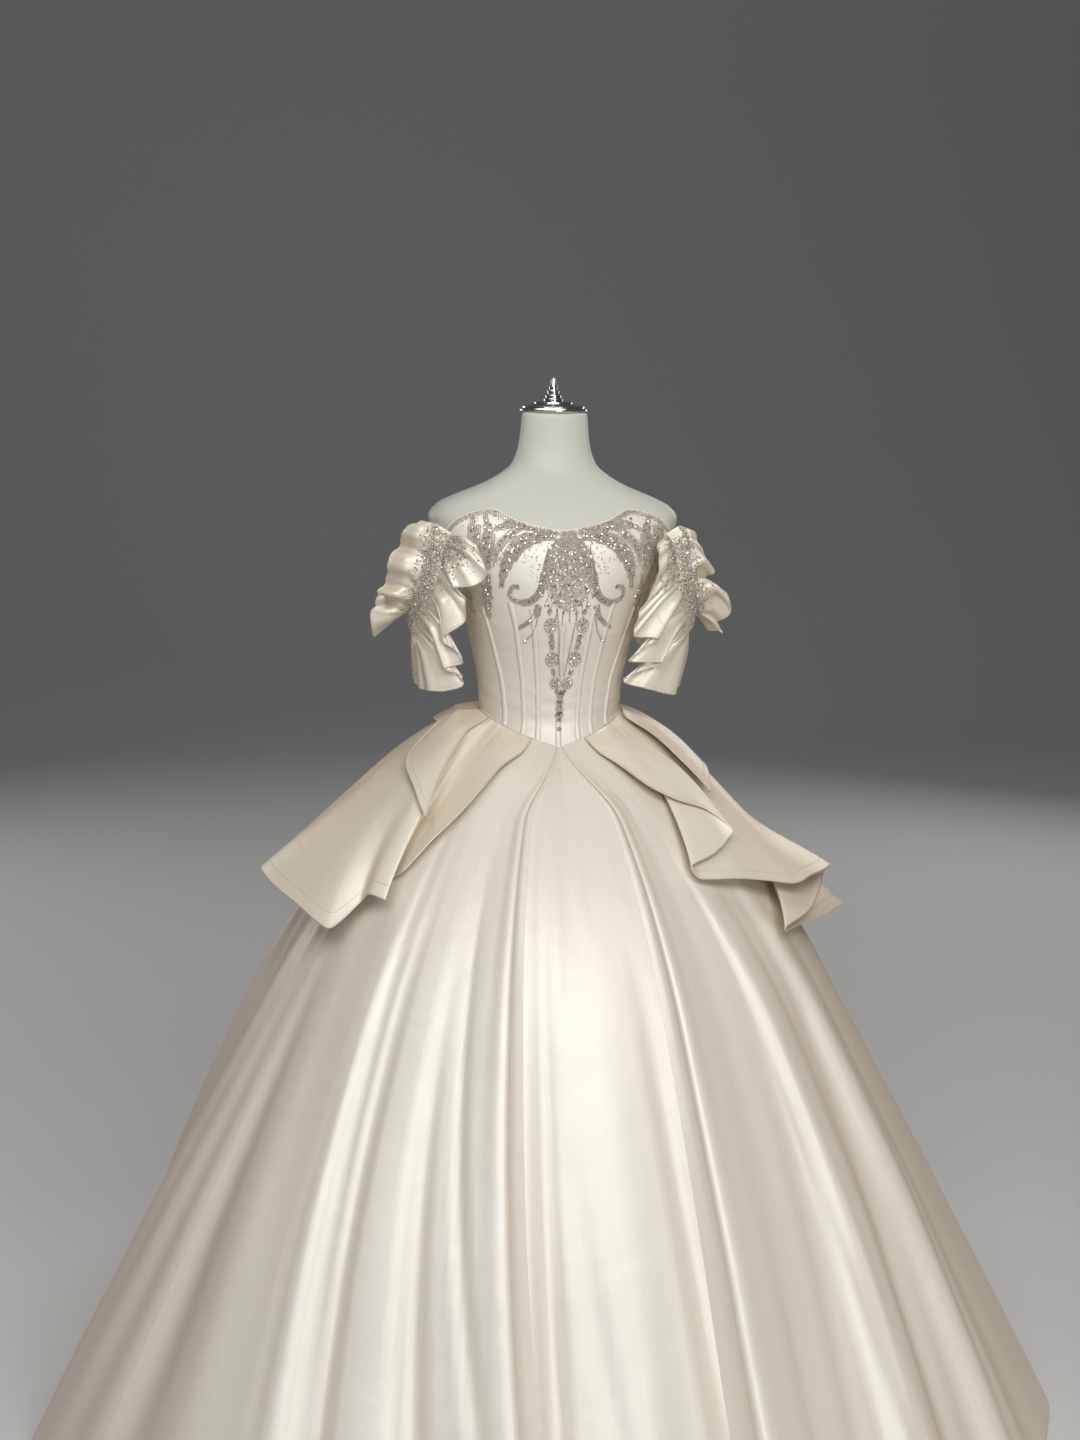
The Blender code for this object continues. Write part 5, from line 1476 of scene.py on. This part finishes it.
def front_beads(chance, size):
    """The bodice's beads as rows of (across, height, diameter, kind), in metres."""
    found = []
    for bead, pitch, half_widths, line in [SCROLL] + LEAVES:
        for d, h, edge in filled_band(line, half_widths, pitch):
            large = not edge and chance.random() < LARGE_SHARE
            found.append((d, h, bead * (LARGE_SIZE if large else 1.0),
                          "stone" if large else "seed"))
    for d, h, across in ROSETTES:
        found.append((d, h, across * 0.27, "stone"))
        for ring, count, bead in ROSETTE_RINGS:
            for k in range(count):
                turn = 2 * math.pi * k / count
                found.append((d + across * ring * math.cos(turn),
                              h + across * ring * ROSETTE_RISE * math.sin(turn),
                              across * bead, "stone" if count == 8 else "seed"))
    found += [(d, h, across, "stone") for d, h, across in STONES]
    sides = [(side, row) for row in found for side in (-1, 1)]
    placed_beads = [(side * d / 1000, h / 1000, across / 1000, kind)
                    for side, (d, h, across, kind) in sides if d > 0.5 or side > 0]
    for k in range(FIELD_RAYS):
        turn = math.radians(FIELD_HALF_TURN) * (2 * k / (FIELD_RAYS - 1) - 1)
        reach = FIELD_REACH * (0.92 + 0.08 * math.cos(k * 2.1)) * math.cos(turn * 2.2)
        far = np.arange(FIELD_START + 0.014 * (k % 2), reach, FIELD_PITCH + 0.0003 * (k % 3))
        for r in far:
            if chance.random() < FIELD_GAPS:
                continue
            large = chance.random() < 1.5 * r - 0.02
            across = FIELD_BEADS[1 if large else 0] * chance.uniform(0.85, 1.3)
            placed_beads.append((r * math.sin(turn), ORNAMENT_TOP - r * math.cos(turn), across,
                                 "stone" if large else "seed"))
    around = np.arange(-74.0, 74.0, 1.25)
    for below in NECK_ROWS:
        rim = form_point(around + below * 90, neck_height(around + below * 90) - below, 0.0)
        placed_beads += [(x - ornament_middle(z), z, size, "seed") for x, _, z in rim]
    for _ in range(SCATTERED):
        d, h = chance.uniform(0.0, SCATTER_REACH), chance.uniform(*SCATTER_HEIGHTS)
        if h > 1.29 + 0.02 * math.sin(d * 90) - 0.35 * max(0.0, 0.06 - d):
            side = chance.choice((-1, 1))
            placed_beads.append((side * d, h, 0.0020 * chance.uniform(0.8, 1.3), "seed"))
    return placed_beads


class GOWN_OT_beads(bpy.types.Operator):
    """Sews the seed beads and stones on the bodice and the sleeves"""
    bl_idname = "gown.beads"
    bl_label = "Beadwork"

    def execute(self, context):
        look = context.scene.gown_beads
        chance = np.random.default_rng(look.shuffle)
        silver = plain_material("bead_silver", colour_of(look.silver), 0.20, 0.75)
        crystal = plain_material("cut_stone", colour_of(look.crystal), 0.16, 0.85)
        found = front_beads(chance, look.seed)
        kinds = np.array([row[3] for row in found])
        beads = np.array([row[:3] for row in found])
        beads[:, 0] += ornament_middle(beads[:, 1])
        under = beads[:, 1] < front_neck_height(beads[:, 0], beads[:, 1]) - beads[:, 2] * 0.3
        for kind, look_of, plural in (("seed", silver, "seeds"), ("stone", crystal, "stones")):
            rows = beads[under & (kinds == kind)]
            bone = BONE_LIFT * np.clip(1.6 - np.abs(rows[:, 0]) / 0.004, 0.0, 1.0)
            lift = np.where(rows[:, 1] < CASING_TOP, bone, 0.0)
            places, normals = on_bodice(rows[:, 0], rows[:, 1], 0.0)
            places = places + normals * (lift + BEAD_LIFT)[:, None]
            strewn("gown_front_" + plural, kind, places, normals, rows[:, 2], look_of,
                   chance)
        for sleeve in SLEEVE_BEADS:
            self.sleeve(*sleeve, chance, silver, crystal)
        return {"FINISHED"}

    def sleeve(self, word, side, first, last, outer_table, inner_table, chance, silver, crystal):
        """A dense band of beads over the sleeve's band, which spills over the frills."""
        count = SLEEVE_BEAD_COUNT
        share = chance.uniform(first, last, count)
        point, across, out = band_frame(share, side)
        width = chance.uniform(-0.9, 1.0, count)[:, None] * BAND_HALF_WIDTH
        places = [point + across * width + out * (FRILL_WALL / 2 + BEAD_LIFT)]
        normals = [out]
        sizes = [np.where(chance.random(count) < LARGE_SHARE, BAND_BEADS[1], BAND_BEADS[0])]
        for edge, spill, far, last_row in SPILLS:
            table = outer_table if edge > 0 else inner_table
            surface = gathered_frill(table, side, edge)
            u = chance.uniform(0.1, last_row or len(table) - 1.3, spill)
            v = np.abs(chance.normal(0.0, far, spill)) + 0.01
            normal = normal_of(surface, u, v, 0.01)
            facing = np.sum(normal * band_frame(u / (len(table) - 1), side)[2], axis=-1)
            normal = normal * np.where(facing < 0, -1.0, 1.0)[:, None]
            places.append(surface(u, v) + normal * (FRILL_WALL / 2 + SPILL_LIFT))
            normals.append(normal)
            sizes.append(np.where(chance.random(spill) < 0.2, SPILLED_BEADS[1], SPILLED_BEADS[0]))
        places, normals = np.concatenate(places), np.concatenate(normals)
        sizes = np.concatenate(sizes)
        large = sizes > STONES_FROM
        strewn("gown_sleeve_seeds_" + word, "seed", places[~large], normals[~large],
               sizes[~large], silver, chance)
        strewn("gown_sleeve_stones_" + word, "stone", places[large], normals[large],
               sizes[large], crystal, chance)


# The studio

CAMERA_AZIMUTH = -9.0
CAMERA_DISTANCE = 3.2
CAMERA_HEIGHT = 1.6038
CAMERA_PITCH = 10.1215
CAMERA_YAW = 0.2671
CAMERA_ROLL = 1.0
FLOOR_HALF = 9.0
FLOOR_BEND = 4.0           # radius of the bend where the floor turns up into the backdrop


def soft_light(name, place, aim, size, watts, colour):
    data = bpy.data.lights.new(name, "AREA")
    data.shape = "RECTANGLE"
    data.size, data.size_y = size
    data.energy = watts
    data.color = colour
    lamp = in_scene(name, data)
    lamp.location = place
    lamp.rotation_euler = (Vector(aim) - Vector(place)).to_track_quat("-Z", "Y").to_euler()


class GOWN_OT_stage(bpy.types.Operator):
    """Builds the floor, the lights and the camera"""
    bl_idname = "gown.stage"
    bl_label = "Studio"

    def execute(self, context):
        stage = context.scene.gown_stage
        self.floor(stage)
        for name, place, height, size, watts, colour in (
                ("key", (-0.2, -2.9, 3.3), 0.95, (3.6, 1.6), stage.key, (1.0, 0.99, 0.97)),
                ("front", (0.9, -4.0, 1.5), 0.9, (1.0, 1.0), stage.fill, (1.0, 0.99, 0.98)),
                ("top", (0.0, 0.6, 4.6), 1.0, (2.0, 2.0), stage.fill, (1.0, 0.98, 0.95)),
                ("left", (-2.6, 3.3, 1.8), 0.8, (1.6, 1.6), stage.back, (1.0, 0.98, 0.95)),
                ("right", (2.4, 3.5, 2.0), 0.8, (1.6, 1.6), stage.back, (1.0, 0.98, 0.95))):
            soft_light(name, place, (0, 0, height), size, watts, colour)
        world = bpy.data.worlds.new("room")
        bpy.context.scene.world = world
        world.use_nodes = True
        background = world.node_tree.nodes["Background"]
        background.inputs["Color"].default_value = (0.9, 0.95, 1, 1)
        background.inputs["Strength"].default_value = stage.sky
        self.camera(stage)
        bpy.context.scene.view_settings.view_transform = "Standard"
        return {"FINISHED"}

    def floor(self, stage):
        """A pale floor that turns up behind in one soft bend."""
        grey = plain_material("floor_grey", colour_of(stage.floor), 0.85)
        bm = bmesh.new()
        bmesh.ops.create_grid(bm, x_segments=1, y_segments=1, size=FLOOR_HALF)
        far = [e for e in bm.edges if all(v.co.y > FLOOR_HALF - 0.1 for v in e.verts)]
        grown = bmesh.ops.extrude_edge_only(bm, edges=far)["geom"]
        bmesh.ops.translate(bm, vec=(0, 0, FLOOR_HALF),
                            verts=[v for v in grown if isinstance(v, bmesh.types.BMVert)])
        bend = [e for e in bm.edges
                if all(v.co.y > FLOOR_HALF - 0.1 and v.co.z < 0.1 for v in e.verts)]
        rounded(bm, bend, FLOOR_BEND, 24)
        mesh = bpy.data.meshes.new("floor")
        bm.to_mesh(mesh)
        bm.free()
        mesh.materials.append(grey)
        mesh.shade_smooth()
        floor = in_scene("floor", mesh)

    def camera(self, stage):
        """The camera in front of the gown, a little to its left and looking down."""
        azimuth, pitch = math.radians(CAMERA_AZIMUTH), math.radians(CAMERA_PITCH)
        ahead = Vector((-math.sin(azimuth) * math.cos(pitch), math.cos(azimuth) * math.cos(pitch),
                        -math.sin(pitch)))
        right = Vector((math.cos(azimuth), math.sin(azimuth), 0.0))
        yaw, roll = math.radians(CAMERA_YAW), math.radians(CAMERA_ROLL)
        ahead, right = (ahead * math.cos(yaw) - right * math.sin(yaw),
                        right * math.cos(yaw) + ahead * math.sin(yaw))
        up = right.cross(ahead)
        right, up = (right * math.cos(roll) + up * math.sin(roll),
                     up * math.cos(roll) - right * math.sin(roll))
        data = bpy.data.cameras.new("camera")
        data.sensor_fit = "AUTO"
        data.sensor_width = 36.0
        data.lens = stage.lens
        data.dof.use_dof = False
        camera = in_scene("camera", data)
        turned = Matrix((right, up, -ahead)).transposed().to_4x4()
        turned.translation = (CAMERA_DISTANCE * math.sin(azimuth),
                              -CAMERA_DISTANCE * math.cos(azimuth), CAMERA_HEIGHT)
        camera.matrix_world = turned
        bpy.context.scene.camera = camera


class GOWN_PT_panel(bpy.types.Panel):
    """The gown's operators, in the order that builds it"""
    bl_idname = "GOWN_PT_panel"
    bl_label = "Ball gown"
    bl_space_type = "VIEW_3D"
    bl_region_type = "UI"
    bl_category = "Gown"

    def draw(self, context):
        for operator in OPERATORS:
            self.layout.operator(operator.bl_idname)


GROUPS = {"gown_cloth": GownCloth, "gown_bodice": GownBodice, "gown_zip": GownZip,
          "gown_beads": GownBeads, "gown_form": GownForm, "gown_stage": GownStage}
OPERATORS = (GOWN_OT_form, GOWN_OT_bodice, GOWN_OT_zip, GOWN_OT_skirt, GOWN_OT_peplums,
             GOWN_OT_sleeves, GOWN_OT_beads, GOWN_OT_stage)
CLASSES = tuple(GROUPS.values()) + OPERATORS + (GOWN_PT_panel,)


def register():
    for made in CLASSES:
        bpy.utils.register_class(made)
    for name, group in GROUPS.items():
        setattr(bpy.types.Scene, name, PointerProperty(type=group))


def unregister():
    for name in GROUPS:
        delattr(bpy.types.Scene, name)
    for made in reversed(CLASSES):
        bpy.utils.unregister_class(made)


def main():
    register()
    bpy.ops.gown.form()
    bpy.ops.gown.bodice()
    bpy.ops.gown.zip()
    bpy.ops.gown.skirt()
    bpy.ops.gown.peplums()
    bpy.ops.gown.sleeves()
    bpy.ops.gown.beads()
    bpy.ops.gown.stage()


if __name__ == "__main__":
    main()
